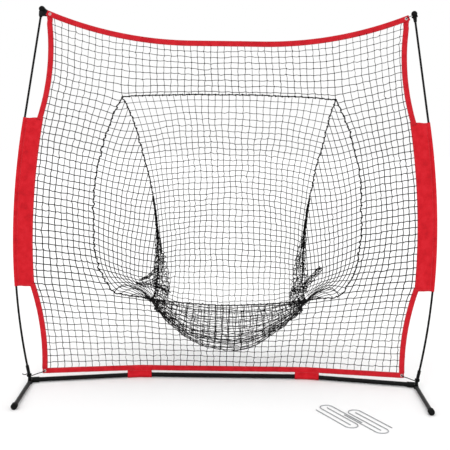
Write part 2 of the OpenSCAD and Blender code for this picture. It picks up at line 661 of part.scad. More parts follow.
module sleeve_panel(side) color(webbing_red) pole_plane(side) intersection() {
    union() {
        bend_down(lower_middle - [0, channel_straight / 2], lower_radius, 0,
            lower_turn(panel_bottom_v - 40)) sleeve_section();
        rod_up([pole_reach, waist_v - channel_straight / 2], 0, channel_straight) sleeve_section();
        bend_up(upper_middle + [0, channel_straight / 2], middle_radius, 0,
            upper_turn(panel_top_v + 40)) sleeve_section();
    }
    translate([pole_reach - 3 * panel_w, panel_bottom_v, -50])
        cube([4 * panel_w, panel_top_v - panel_bottom_v, 100]);
}

// Bottom border: its plan follows the base and turns square at the corners, its height rises to them
bottom_ends = [-corner_x - border_w, -corner_x, -bend_x, bend_x, corner_x, corner_x + border_w];
function bottom_y(x) = lean_y(lean_v(corner_z)) * min(1, max(0, abs(x) - bend_x) / (corner_x - bend_x));
module bottom_band(grow) intersection() {
    translate([0, 0, bottom_border_z - border_w]) linear_extrude(3 * border_w) polygon(concat(
        [for (x = bottom_ends) [x, bottom_y(x) - border_t / 2 - grow]],
        [for (x = [for (i = [5 : -1 : 0]) bottom_ends[i]]) [x, bottom_y(x) + border_t / 2 + grow]]));
    translate([0, hub_forward, 0]) rotate([90, 0, 0]) linear_extrude(3 * hub_forward) polygon(concat(
        [for (x = bottom_ends) [x, bottom_middle(x) - border_w / 2 - grow]],
        [for (x = [for (i = [5 : -1 : 0]) bottom_ends[i]]) [x, bottom_middle(x) + border_w / 2 + grow]]));
}

module bottom_corner(side) placed()
    translate([side * lower_waist, bottom_y(lower_waist), corner_z]) rotate([90, 0, 0]) children();

module border_bottom() color(webbing_red) difference() {
    placed() bottom_band(0);
    for (side = [left, right]) bottom_corner(side) grommet_hole();
}

// ---- wraps ----
wrap_bore = base_tube_d / 2 + touch;
wrap_r = base_z + touch;
wrap_t = wrap_r - wrap_bore;
wrap_top = bottom_border_z + border_w / 2 - 1.5 - base_z;
wrap_shoulder = border_t / 2 + touch + wrap_t;
// Twelve-sided, with a flat below to stand on
module wrap_ring(flat_r) rotate(15) circle(r = flat_r / cos(15), $fn = 12);
module wrap_half(from, length) rotate([90, 0, 90]) translate([0, 0, from]) linear_extrude(length)
    difference() {
        union() {
            wrap_ring(wrap_r);
            polygon([[-wrap_bore, 8], [-wrap_shoulder, wrap_top - 1], [1 - wrap_shoulder, wrap_top],
                [wrap_shoulder - 1, wrap_top], [wrap_shoulder, wrap_top - 1], [wrap_bore, 8]]);
        }
        wrap_ring(wrap_bore);
        translate([-border_t / 2, 0]) square([border_t, bottom_border_z - base_z]);
    }
module base_wrap(side) color(webbing_red) difference() {
    placed() mirror([side < 0 ? 1 : 0, 0, 0]) translate([bend_x, 0, base_z]) {
        difference() {
            wrap_half(-wrap_len / 2, wrap_len / 2 + 10);
            beyond_bend();
        }
        intersection() {
            rotate([0, 0, -arm_angle]) wrap_half(-10, wrap_len / 2 + 10);
            beyond_bend(seam);
        }
    }
    placed() bottom_band(touch);
    translate([-2 * pole_reach, -2 * pole_reach, -10]) cube([4 * pole_reach, 4 * pole_reach, 10]);
}

// ---- corners ----
grommet_r = 8;
module grommet_hole() cylinder(r = 5.2, h = 20, center = true, $fn = fine);
function grommet_top(side) = let (turn = top_corner_turn - 0.5)
    [side * (top_flat + (top_radius + border_w / 2) * sin(turn)),
     top_rise_middle - (top_radius + border_w / 2) * cos(turn), 0];

module grommet() rotate_extrude($fn = fine) {
    translate([3.8, -border_t / 2 - 0.9]) square([1.2, border_t + 1.8]);
    for (end = [0, 1]) mirror([0, end]) translate([3.8, border_t / 2 + 0.1]) square([grommet_r - 3.8, 0.8]);
}

module corner_grommets() color(zinc) {
    for (side = [left, right]) pole_plane(right) translate(grommet_top(side)) grommet();
    for (side = [left, right]) bottom_corner(side) grommet();
}

// A wide webbing tab ties the top left corner to its ball, a thin cord the top right one
tab_t = 2;
// A point of the poles' plane seen from the ball, up the pole and across it
function from_ball(p) = let (d = p - ball_middle)
    [d[0] * cos(tip_angle) + d[1] * sin(tip_angle), d[1] * cos(tip_angle) - d[0] * sin(tip_angle)];
module corner_tab_top_left() color(mesh_black) pole_plane(left)
    translate(ball_middle) rotate([0, 0, tip_angle]) {
        hole = from_ball([grommet_top(right)[0], grommet_top(right)[1]]);
        translate([0, 0, border_t / 2 + 1.2]) linear_extrude(tab_t) polygon([
            [-1 - neck_at(-15), -15.5], [-1 - neck_at(-38), -38.5], [-30, -36],
            hole + [-4, -12], hole + [-10, 8], [-22, -12]]);
        rotate([-90, 0, 0]) rotate_extrude($fn = fine)
            polygon([for (p = [[0, -40], [1.6, -40], [1.6, -14], [0, -14]])
                [neck_at(p[1]) + touch + p[0], p[1]]]);
    }

cord_d = 5;
thin_cord_d = 4;
module corner_cord_top_right() color(mesh_black) {
    hole = grommet_top(right);
    tie = ball_middle + 22 * [sin(tip_angle), -cos(tip_angle)];
    tie_r = neck_at(-20) + thin_cord_d / 2 + touch;
    pole_plane(right) cord([hole + [0, 0, -7], hole + [0, 0, -1], hole + [0, 0, 4], hole + [3, 3, 7],
        [mix(hole[0], tie[0], 0.45), mix(hole[1], tie[1], 0.55), 11],
        [tie[0] - 5, tie[1] + 2, tie_r - 0.6]], thin_cord_d, 8);
    pole_plane(right) translate(tie) rotate([0, 0, tip_angle]) rotate([-90, 0, 0])
        rotate_extrude($fn = fine) translate([tie_r, 0]) circle(d = thin_cord_d, $fn = 16);
}

module corner_cord_bottom(side) color(mesh_black) {
    hole = [lower_waist, bottom_y(lower_waist), corner_z];
    loop_r = pole_d / 2 + slip_fit + socket_wall + cord_d / 2 + touch;
    loop_v = 26;
    tie = [hub_x + loop_v * sin(socket_angle) - loop_r, lean_y(loop_v), lean_z(loop_v)];
    placed() mirror([side < 0 ? 1 : 0, 0, 0]) cord([hole + [-1, 9, 1], hole + [0, 1, 0],
        hole + [1, -5, -1], hole + [8, -7, -5], mix(hole, tie, 0.5) + [0, -5, 0], tie], cord_d, 8);
    pole_plane(side) translate([hub_x, 0, 0]) rotate([0, 0, -socket_angle]) rotate([-90, 0, 0])
        translate([0, 0, loop_v]) rotate_extrude($fn = fine)
            translate([loop_r, 0]) circle(d = cord_d, $fn = 16);
}

// ---- mesh ----
module net_upper() color(mesh_black) placed() mesh_panel(upper_grid);
module net_lower() color(mesh_black) placed() mesh_panel(lower_grid);
module net_side(side) color(mesh_black) placed() mesh_panel(side_grid(side));

rim_steps = 18;
rim_path = concat(
    [for (k = [0 : 8]) let (x = mix(-mouth_top_x, mouth_top_x, k / 8)) on_net(x, mouth_top(x))],
    [for (k = [1 : rim_steps]) mouth_rim(right, k / rim_steps)],
    [for (k = [1 : 7]) let (x = mix(sill_half, -sill_half, k / 8)) on_net(x, mouth_sill(x))],
    [for (k = [rim_steps : -1 : 1]) mouth_rim(left, k / rim_steps)]);
module mouth_cord() color(mesh_black) placed() cord(rim_path, mouth_cord_d, 6, true);

module pocket_back() color(mesh_black) placed() mesh_panel(back_grid);
module pocket_bag() color(mesh_black) placed() mesh_panel(bag_grid);
module pocket_side(side) color(mesh_black) placed() mesh_panel(gusset_grid(side));
seam_rings = 18;
module pocket_seam(side) color(mesh_black) placed()
    cord([for (k = [0 : seam_rings]) seam_point(side, mix(0.03, 0.97, k / seam_rings))], seam_cord_d, 6);

// ---- ground pegs ----
module ground_peg(pair, turned) color(wire_grey) placed()
    translate([pair[0], pair[1], peg_d / 2]) rotate([0, 0, peg_angle + turned])
        translate([-peg_half, peg_gap / 4, 0]) {
            translate([peg_bow, 0, 0]) rotate([0, 0, 90]) rotate_extrude(angle = 180, $fn = fine)
                translate([peg_gap / 2, 0]) circle(d = peg_d, $fn = 32);
            for (end = [-1, 1]) translate([peg_bow, end * peg_gap / 2, 0])
                rod_x(peg_d, peg_len - peg_bow);
        }

base_center_tube();
base_arm(left);  // base_arm_left
base_arm(right);  // base_arm_right
base_elbow(left);  // base_elbow_left
base_elbow(right);  // base_elbow_right
hub(left);  // hub_left
hub(right);  // hub_right
hub_rivets();
leg(left);  // leg_left
leg(right);  // leg_right
pivot_bolts();
pivot_nuts();
foot_cap(left);  // foot_cap_left
foot_cap(right);  // foot_cap_right
pole_lower(left);  // pole_lower_left
pole_lower(right);  // pole_lower_right
pole_middle(left);  // pole_middle_left
pole_middle(right);  // pole_middle_right
pole_upper(left);  // pole_upper_left
pole_upper(right);  // pole_upper_right
pole_ferrules(left);  // pole_ferrules_left
pole_ferrules(right);  // pole_ferrules_right
pole_ball(left);  // pole_ball_left
pole_ball(right);  // pole_ball_right
border_top();
border_bottom();
border_upper(left);  // border_upper_left
border_upper(right);  // border_upper_right
border_lower(left);  // border_lower_left
border_lower(right);  // border_lower_right
sleeve_panel(left);  // sleeve_panel_left
sleeve_panel(right);  // sleeve_panel_right
base_wrap(left);  // base_wrap_left
base_wrap(right);  // base_wrap_right
corner_grommets();
corner_tab_top_left();
corner_cord_top_right();
corner_cord_bottom(left);  // corner_cord_bottom_left
corner_cord_bottom(right);  // corner_cord_bottom_right
net_upper();
net_lower();
net_side(left);  // net_left
net_side(right);  // net_right
mouth_cord();
pocket_back();
pocket_bag();
pocket_side(left);  // pocket_side_left
pocket_side(right);  // pocket_side_right
pocket_seam(left);  // pocket_seam_left
pocket_seam(right);  // pocket_seam_right
ground_peg(first_pair, 0);  // ground_peg_1
ground_peg(first_pair, 180);  // ground_peg_2
ground_peg(second_pair, 0);  // ground_peg_3
ground_peg(second_pair, 180);  // ground_peg_4
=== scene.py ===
import math
from functools import partial

import bmesh
import bpy
import numpy as np
from mathutils import Matrix, Vector


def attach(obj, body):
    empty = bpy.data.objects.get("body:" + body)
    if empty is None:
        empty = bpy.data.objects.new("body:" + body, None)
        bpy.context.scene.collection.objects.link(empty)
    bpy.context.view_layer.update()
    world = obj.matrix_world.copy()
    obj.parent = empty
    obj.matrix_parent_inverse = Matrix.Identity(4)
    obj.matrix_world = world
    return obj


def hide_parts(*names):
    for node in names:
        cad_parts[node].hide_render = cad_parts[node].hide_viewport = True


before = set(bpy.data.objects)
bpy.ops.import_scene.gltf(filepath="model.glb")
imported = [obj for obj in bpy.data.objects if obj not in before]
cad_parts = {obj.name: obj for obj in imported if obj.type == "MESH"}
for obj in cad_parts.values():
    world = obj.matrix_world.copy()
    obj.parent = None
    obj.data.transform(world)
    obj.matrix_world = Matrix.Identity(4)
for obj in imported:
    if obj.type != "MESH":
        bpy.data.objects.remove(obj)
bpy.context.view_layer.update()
scene = bpy.context.scene
mainBody = "net_and_frame"
bothSides = ((-1, "Left"), (1, "Right"))


def linked(name, data):
    thing = bpy.data.objects.new(name, data)
    scene.collection.objects.link(thing)
    return thing


# ---- camera ----
cameraView = {
    "place": (0.0, -4.4633, 1.5),  # metres
    "dip": 5.0,  # degrees below level
    "roll": 0.0135,  # radians
    "lens": 64.77,
    "sensor": 36.0,
    "shift": (-0.0016, -0.0771),
}


def makeCamera(view):
    data = bpy.data.cameras.new("studioCamera")
    data.lens, data.sensor_width = view["lens"], view["sensor"]
    data.shift_x, data.shift_y = view["shift"]
    camera = linked("studioCamera", data)
    dip, roll = math.radians(view["dip"]), view["roll"]
    ahead = Vector((0, math.cos(dip), -math.sin(dip)))
    across = Vector((1, 0, 0))
    above = across.cross(ahead)
    right = across * math.cos(roll) + above * math.sin(roll)
    up = above * math.cos(roll) - across * math.sin(roll)
    turn = Matrix((right, up, -ahead)).transposed().to_4x4()
    camera.matrix_world = Matrix.Translation(view["place"]) @ turn
    scene.camera = camera


makeCamera(cameraView)
print("camera set")

# ---- sizes shared by all pieces, in mm: x to the right, y to the back, z up, base tube at y = 0 ----
# v is a height measured along the plane in which the rods lean
base = {"bend": 486, "forward": 125, "axis": 16.0, "middleY": 136.704}
rod = {"d": 12, "reach": 1187, "socketLean": 12.4, "lean": 3.4, "socketTop": 84, "waist": 815,
       "tipStart": 1440, "ball": 2090, "tipLean": 8.6, "ballD": 34, "neckD": 17,
       "neckFoot": 46, "flare": 40, "flareIn": 4}  # the neck flares into the ball
edge = {"width": 28, "thick": 3, "topMid": 1924, "topFlat": 200, "topRadius": 2150, "topCorner": 1014,
        "upperWaist": 990, "upperRadius": 1290, "upperV": 1867, "lowerWaist": 1010, "lowerRadius": 1368,
        "lowerV": 100, "bottomZ": 57, "cornerRise": 13, "panelLow": 532, "panelHigh": 1484, "panelW": 103}
mouth = {"topX": 600, "midX": 760, "lowX": 645, "topZ": 1618, "midZ": 930, "lowZ": 500, "sillZ": 431,
         "topPower": 2.4, "lowPower": 3.2, "risePower": 3, "sillPower": 1.8,  # how suddenly each side turns
         "sideShare": 0.74,  # share of the rim's run from a top corner that lies down the side
         "front": 2 / 3,  # share of the sill's half width to which the pocket is sewn
         "shift": 12, "rise": 20}  # the netting is sewn a little to one side
pocket = {
    "depth": 540,
    "drift": 18,
    "leftPull": 24,  # the left seam is drawn in
    "shallow": 0.15,
    "cord": 6,
    # from top to sill: shares of the depth, and of the mouth's height, half width and height again
    "line": ((0.278, 0.853, 0.917, 0), (0.546, 0.698, 0.833, 0), (0.778, 0.538, 0.783, 0),
             (0.944, 0.383, 0.767, 0), (1, 0.253, 0.777, 0.025), (0.889, 0.133, 0.785, 0.112),
             (0.611, 0.068, 0.785, 0.176), (0.306, 0.074, 0.765, 0.186), (0.102, 0.1545, 0.74, 0.124)),
    "foldRise": 0.02,
    "lift": 2.1,  # power by which the surface rises toward the seams
}


def sinCos(degrees):
    return math.sin(math.radians(degrees)), math.cos(math.radians(degrees))


leanSin, leanCos = sinCos(rod["lean"])
socketSin, socketCos = sinCos(rod["socketLean"])
tipSin, tipCos = sinCos(rod["tipLean"])
socketMiddle = rod["socketTop"] * 0.6
lowerRodR = (rod["waist"] - socketMiddle) / socketSin
middleRodR = (rod["tipStart"] - rod["waist"]) / tipSin
hubX = rod["reach"] - lowerRodR * (1 - socketCos) - socketMiddle * socketSin / socketCos
tipStart = np.array([rod["reach"] - middleRodR * (1 - tipCos), rod["waist"] + middleRodR * tipSin])
ballMiddle = tipStart + (rod["ball"] - rod["tipStart"]) / tipCos * np.array([-tipSin, tipCos])
armTurn = math.atan2(base["forward"], hubX - base["bend"])
cornerX = edge["lowerWaist"] - edge["width"] / 2
cornerZ = edge["bottomZ"] + edge["cornerRise"]
topMiddleV = edge["topMid"] + edge["topRadius"]


def mix(a, b, t):
    return a + (b - a) * t


def held01(t):
    return min(1.0, max(0.0, t))


def smooth(t):
    t = held01(t)
    return t * t * (3 - 2 * t)


def unit(v):
    return v / max(1e-9, np.linalg.norm(v))


def runAlong(points):  # length from the first point to each
    steps = np.linalg.norm(np.diff(np.asarray(points, float), axis=0), axis=1)
    return np.concatenate([[0], np.cumsum(steps)])


def curvePoint(points, k, t):  # on a smooth curve through the points, a share t past point k
    a, b, c, d = (points[min(len(points) - 1, max(0, k + i))] for i in (-1, 0, 1, 2))
    square, cube = 2 * a - 5 * b + 4 * c - d, 3 * b - a - 3 * c + d
    return 0.5 * (2 * b + (c - a) * t + square * t * t + cube * t ** 3)


def finePath(points, step):
    points = [np.asarray(p, float) for p in points]
    out = []
    for k in range(len(points) - 1):
        count = max(2, int(np.linalg.norm(points[k + 1] - points[k]) / step) + 1)
        out += [curvePoint(points, k, i / count) for i in range(count)]
    return np.array(out + [points[-1]])


def placed(points):  # from millimetres round the base tube to metres round the part's middle
    points = np.asarray(points, float)
    return (points + np.array([0, base["middleY"], 0])) * 0.001


def leanZ(v):
    return base["axis"] + v * leanCos


def leanY(v):
    return -base["forward"] + v * leanSin


def leanV(z):
    return (z - base["axis"]) / leanCos


def onPoles(x, v, w=0.0, side=1):  # a point of the rods' leaning plane, w to the front
    return np.array([side * x, leanY(v) - w * leanCos, leanZ(v) + w * leanSin])


def rodArc(v):
    radius = lowerRodR if v < rod["waist"] else middleRodR
    return rod["reach"] - radius, radius


def rodAxis(v):  # distance from the middle and direction of the rod's outward side
    if v >= rod["tipStart"]:
        return tipStart[0] - (v - tipStart[1]) * tipSin / tipCos, math.radians(rod["tipLean"])
    middle, radius = rodArc(v)
    turn = math.asin((v - rod["waist"]) / radius)
    return middle + radius * math.cos(turn), turn


def borderInside(part, v):  # inner edge of an upper or lower border
    radius, inside = edge[part + "Radius"], edge[part + "Radius"] + edge["width"] / 2
    return edge[part + "Waist"] + radius - math.sqrt(inside ** 2 - (v - edge[part + "V"]) ** 2)


def netEdge(v):
    if v < edge["lowerV"]:
        return cornerX
    if v < edge["panelLow"]:
        return borderInside("lower", v)
    if v < edge["panelHigh"]:
        middle, radius = rodArc(v)
        return middle + math.sqrt((radius - edge["panelW"]) ** 2 - (v - rod["waist"]) ** 2)
    return borderInside("upper", v)


def underTop(x):
    out = max(0, abs(x) - edge["topFlat"])
    return leanZ(topMiddleV - math.sqrt((edge["topRadius"] + edge["width"]) ** 2 - out ** 2))


def pastBend(x, end):
    return held01((abs(x) - base["bend"]) / (end - base["bend"]))


def bottomMiddle(x):
    return edge["bottomZ"] + edge["cornerRise"] * pastBend(x, cornerX)


def bottomY(x):
    return leanY(leanV(cornerZ)) * pastBend(x, cornerX)


def netY(x, z):
    share = pastBend(x, netEdge(leanV(z)))
    return z * leanY(edge["topMid"]) / leanZ(edge["topMid"]) * (1 - share) + leanY(leanV(z)) * share


def mouthSide(z):
    end = "top" if z > mouth["midZ"] else "low"
    share = max(0, (z - mouth["midZ"]) / (mouth[end + "Z"] - mouth["midZ"]))
    return mouth["midX"] - (mouth["midX"] - mouth[end + "X"]) * share ** mouth[end + "Power"]


def mouthTop(x):
    return mouth["topZ"] + mouth["rise"] * max(0, 1 - abs(x / mouth["topX"]) ** mouth["risePower"])


def mouthSill(x):
    share = min(1, abs(x) / mouth["lowX"])
    return mouth["sillZ"] + (mouth["lowZ"] - mouth["sillZ"]) * share ** mouth["sillPower"]


def mouthEdge(x, z):
    return np.array([x + mouth["shift"], netY(x + mouth["shift"], z), z])


def mouthRim(side, t):  # from a top corner of the mouth, 0, to the pocket's front edge, 1
    if t < mouth["sideShare"]:
        z = mouth["topZ"] - (mouth["topZ"] - mouth["lowZ"]) * t / mouth["sideShare"]
        return mouthEdge(side * mouthSide(z), z)
    past = (t - mouth["sideShare"]) / (1 - mouth["sideShare"])
    x = side * mouth["lowX"] * (1 - past * (1 - mouth["front"]))
    return mouthEdge(x, mouthSill(x))


# depth, height and half width of the pocket, and how far it rises at the seams, from top to sill
pocketSizes = np.array([pocket["depth"], mouth["topZ"], mouth["topX"], mouth["topZ"]])
pocketLine = np.array([
    (pocket["cord"] - 1, mouth["topZ"] + pocket["cord"], mouth["topX"] - pocket["cord"], -pocket["cord"]),
    *(pocketSizes * shares for shares in pocket["line"]),
    (pocket["cord"] - 1, mouth["sillZ"], mouth["lowX"] * mouth["front"], mouth["topZ"] * pocket["foldRise"])])


def pocketPoint(u, s):  # u from -1 to 1 across, s from 0 at the mouth's top to 10 at its sill
    k = min(len(pocketLine) - 2, int(s))
    depth, height, half, rise = curvePoint(pocketLine, k, s - k)
    x = mouth["shift"] + pocket["drift"] * math.sin(math.pi * s / 10) + u * half
    if u < 0:
        x += pocket["leftPull"] * u * u * smooth(s / 0.9) * (1 - smooth((s - 1) / 6))
    z = height + rise * abs(u) ** pocket["lift"] + (mouthTop(x) - mouth["topZ"]) * (1 - smooth(s))
    return np.array([x, depth * (1 - pocket["shallow"] * u * u), z])


def wander(seed, where, size):  # smooth small wandering of a point, the same in every run
    x, y, z = where
    return size * np.array([
        math.sin(x / 97 + seed) * math.cos(z / 131 + 2 * seed) + 0.5 * math.sin(z / 43 + x / 61 + seed),
        math.sin(x / 83 + 3 * seed) * math.sin(z / 71 + y / 90) * 1.2,
        math.cos(x / 109 + seed) * math.sin(z / 117 + seed) + 0.5 * math.sin(x / 51 - z / 67 + 2 * seed)])


# ---- making meshes and node trees ----
def gridFaces(rows, sides, reach, run, ringed=False, looped=False, turned=False, first=0):
    # quads between rows of points, with a cloth map: reach goes along a row, run from row to row
    # ringed rows close on themselves, and looped ones also join the last row to the first
    shapes = []
    for i in range(rows if looped else rows - 1):
        for k in range(sides if ringed else sides - 1):
            m, n = (k + 1) % sides, (i + 1) % rows
            shapes.append([(i, k, i, k), (i, m, i, k + 1), (n, m, i + 1, k + 1), (n, k, i + 1, k)])
    if ringed and not looped:  # closed by an end face each
        for i, ends in ((0, range(sides)[::-1]), (rows - 1, range(sides))):
            shapes.append([(i, k, i, k) for k in ends])
    shapes = [shape[::-1] if turned else shape for shape in shapes]
    faces = [[first + i * sides + k for i, k, _, _ in shape] for shape in shapes]
    return faces, [(reach[b], run[a]) for shape in shapes for _, _, a, b in shape]


def meshPiece(name, points, faces, clothMap, finish):  # points and cloth map in mm
    mesh = bpy.data.meshes.new(name)
    mesh.from_pydata([tuple(p) for p in placed(points)], [], faces)
    layer = mesh.uv_layers.new(name="clothMap")
    layer.data.foreach_set("uv", (np.asarray(clothMap) * 0.001).astype(np.float32).ravel())
    mesh.materials.append(finishes[finish])
    mesh.polygons.foreach_set("use_smooth", [True] * len(mesh.polygons))
    mesh.update()
    return linked(name, mesh)


def fasten(piece, slotName, *nodes):
    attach(piece, mainBody)
    if nodes:
        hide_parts(*nodes)
    return piece


def tubePiece(name, path, diameter, sides, closed=False):
    path = np.asarray(path, float)
    count = len(path)
    points, side = [], None
    for i in range(count):
        back, ahead = (i - 1, (i + 1) % count) if closed else (max(0, i - 1), min(count - 1, i + 1))
        t = unit(path[ahead] - path[back])
        # the first side is square to the path, and the later ones turn as little as they can
        side = unit(np.cross(t, (0.31, -0.9, 0.27))) if side is None else unit(side - t * side.dot(t))
        other = np.cross(t, side)
        for k in range(sides):
            a = 2 * math.pi * k / sides
            points.append(path[i] + diameter / 2 * (side * math.cos(a) + other * math.sin(a)))
    rim = math.pi * diameter / sides * np.arange(sides + 1)
    run = runAlong(np.vstack([path, path[:1]]))
    faces, clothMap = gridFaces(count, sides, rim, run, ringed=True, looped=closed)
    return meshPiece(name, points, faces, clothMap, "cord")


def addNode(tree, kind, inputs=None, **settings):  # an input takes a value or another node's output
    node = tree.nodes.new(kind)
    for key, value in settings.items():
        setattr(node, key, value)
    for socket, value in (inputs or {}).items():
        if isinstance(value, bpy.types.NodeSocket):
            tree.links.new(value, node.inputs[socket])
        else:
            node.inputs[socket].default_value = value
    return node.outputs


def startTree(name, sizes):
    tree = bpy.data.node_groups.new(name, "GeometryNodeTree")
    tree.interface.new_socket("Geometry", in_out="INPUT", socket_type="NodeSocketGeometry")
    for label, kind in sizes.items():
        tree.interface.new_socket(label, in_out="INPUT", socket_type="NodeSocket" + kind)
    tree.interface.new_socket("Geometry", in_out="OUTPUT", socket_type="NodeSocketGeometry")
    add = partial(addNode, tree)
    return tree, add, add("NodeGroupInput")


def endTree(tree, add, geometry, material):
    real = add("GeometryNodeRealizeInstances", {"Geometry": geometry})[0]
    shade = add("GeometryNodeSetShadeSmooth", {"Geometry": real})[0]
    finish = add("GeometryNodeSetMaterial", {"Geometry": shade, "Material": material})[0]
    add("NodeGroupOutput", {"Geometry": finish})
    return tree


def growPiece(name, tree, sizes, lines, knots=(), girths=None):  # open lines, and points where knots sit
    points, edges = [], []
    for line in lines:
        edges += [(len(points) + i, len(points) + i + 1) for i in range(len(line) - 1)]
        points += list(line)
    isKnot = [False] * len(points) + [True] * len(knots)
    points = placed(points + list(knots))
    mesh = bpy.data.meshes.new("lines")
    mesh.from_pydata([tuple(p) for p in points], edges, [])
    mesh.attributes.new("isKnot", "BOOLEAN", "POINT").data.foreach_set("value", isKnot)
    mesh.attributes.new("girth", "FLOAT", "POINT").data.foreach_set("value", girths or [1.0] * len(points))
    source = linked("lines", mesh)
    modifier = source.modifiers.new(tree.name, "NODES")
    modifier.node_group = tree
    for item in tree.interface.items_tree:
        if item.in_out == "INPUT" and item.name in sizes:
            length = item.socket_type == "NodeSocketFloat"  # given in mm
            modifier[item.identifier] = sizes[item.name] * 0.001 if length else sizes[item.name]
    graph = bpy.context.evaluated_depsgraph_get()
    result = source.evaluated_get(graph)
    grown = bpy.data.meshes.new_from_object(result, preserve_all_data_layers=True, depsgraph=graph)
    grown.name = name
    source.modifiers.clear()
    bpy.data.objects.remove(source)
    return linked(name, grown)


def hexColour(code):
    parts = [int(code[i:i + 2], 16) / 255 for i in (1, 3, 5)]
    return tuple(c / 12.92 if c <= 0.04045 else ((c + 0.055) / 1.055) ** 2.4 for c in parts) + (1.0,)


# ---- materials ----
def startMaterial(name):
    material = bpy.data.materials.new(name)
    material.use_nodes = True
    material.node_tree.nodes.clear()
    return material, partial(addNode, material.node_tree)


def endMaterial(material, shine, colour, stops, gloss, span, height, depth):
    # shine is the shader's IOR, specular level, sheen and metal; span the roughness at both ends of gloss
    add = partial(addNode, material.node_tree)
    tone = add("ShaderNodeValToRGB", {"Fac": colour})["Color"]
    ramp = tone.node.color_ramp.elements
    for element, (place, code) in zip(ramp, (stops[0], stops[-1])):
        element.position, element.color = place, hexColour(code)
    for place, code in stops[1:-1]:
        ramp.new(place).color = hexColour(code)
    rough = add("ShaderNodeMapRange", {"Value": gloss, "To Min": span[0], "To Max": span[1]})[0]
    bump = add("ShaderNodeBump", {"Height": height, "Distance": depth, "Strength": 1.0})[0]
    surface = {"Base Color": tone, "Roughness": rough, "Normal": bump, **shine}
    add("ShaderNodeOutputMaterial", {"Surface": add("ShaderNodeBsdfPrincipled", surface)[0]})
    return material


def evenFinish(name, shine, *layers):  # three patterns: for colour, roughness and height
    material, add = startMaterial(name)
    where = add("ShaderNodeTexCoord")["Object"]
    said = []
    for texture, perMetre, detail, gives in layers:
        cells = perMetre if isinstance(perMetre, tuple) else (perMetre,) * 3
        near = add("ShaderNodeMapping", {"Vector": where, "Scale": cells})[0]
        said += [add("ShaderNodeTex" + texture, {"Vector": near, "Scale": 1.0, "Detail": detail})[0], gives]
    return endMaterial(material, shine, *said)


# Powder-coated steel tube: black epoxy-polyester with fine orange peel, so a soft long highlight
powderCoatedSteel = evenFinish(
    "powder coated steel tube", {"IOR": 1.5, "Specular IOR Level": 0.1},
    ("Noise", 24.0, 4.0, ((0.3, "#060606"), (0.7, "#0e0e0f"))),
    ("Noise", 60.0, 3.0, (0.26, 0.44)),
    ("Noise", 420.0, 2.0, 0.00012))  # peel of 2.4 mm

# Zinc-plated steel: bright with a faint blue and straw cast in patches
zincPlatedSteel = evenFinish(
    "bright zinc plated steel", {"Metallic": 1.0},
    ("Noise", 160.0, 3.0, ((0.3, "#a9b1b9"), (0.55, "#c3c4c2"), (0.75, "#c9c2ae"))),
    ("Noise", 700.0, 3.0, (0.22, 0.42)),
    ("Noise", 1500.0, 2.0, 0.00003))

# Pultruded glass-fibre rod: black resin with long glass fibres just under a gloss skin
pultrudedFibreglass = evenFinish(
    "pultruded glass fibre rod", {"IOR": 1.54, "Specular IOR Level": 0.1},
    ("Noise", (900.0, 900.0, 9.0), 3.0, ((0.35, "#050506"), (0.62, "#0b0b0c"), (0.78, "#17181a"))),
    ("Noise", 50.0, 3.0, (0.24, 0.42)),
    ("Noise", (900.0, 900.0, 9.0), 3.0, 0.00006))

# Moulded EPDM rubber: dull black with a fine spark-eroded grain
mouldedRubber = evenFinish(
    "moulded black rubber", {"IOR": 1.52, "Specular IOR Level": 0.1},
    ("Noise", 90.0, 3.0, ((0.3, "#070707"), (0.7, "#0f0f0f"))),
    ("Noise", 200.0, 3.0, (0.55, 0.8)),
    ("Noise", 900.0, 2.0, 0.0001))  # grain of 1.1 mm

# Galvanised spring wire: matt grey with a small spangle of 4 mm
galvanisedWire = evenFinish(
    "galvanised spring steel wire", {"Metallic": 1.0},
    ("Voronoi", 260.0, 0.0, ((0.0, "#8c9093"), (0.6, "#b4b6b8"))),
    ("Noise", 300.0, 3.0, (0.28, 0.5)),
    ("Noise", 1200.0, 3.0, 0.00004))


# Bonded polyester sewing thread: smooth, with a lighter waxed shine than the cloth
def sewingThread(name, dark, light):
    return evenFinish(name, {"IOR": 1.5}, ("Noise", 500.0, 3.0, ((0.3, dark), (0.7, light))),
                      ("Noise", 500.0, 3.0, (0.45, 0.45)), ("Noise", 1500.0, 3.0, 0.00005))


def clothUv(add, across, along):  # turns the cloth's own map, in metres, into counts of these lengths
    where = add("ShaderNodeUVMap", uv_map="clothMap")[0]
    counts = add("ShaderNodeMapping", {"Vector": where, "Scale": (1 / across, 1 / along, 1.0)})[0]
    return add("ShaderNodeSeparateXYZ", {"Vector": counts})[:2]


def ridges(add, count):  # one rounded ridge to each whole count
    wave = add("ShaderNodeMath", {0: count, 1: math.pi}, operation="MULTIPLY")[0]
    wave = add("ShaderNodeMath", {0: wave}, operation="SINE")[0]
    return add("ShaderNodeMath", {0: wave}, operation="ABSOLUTE")[0]


clothShine = {"IOR": 1.5, "Specular IOR Level": 0.06, "Sheen Weight": 0.02}


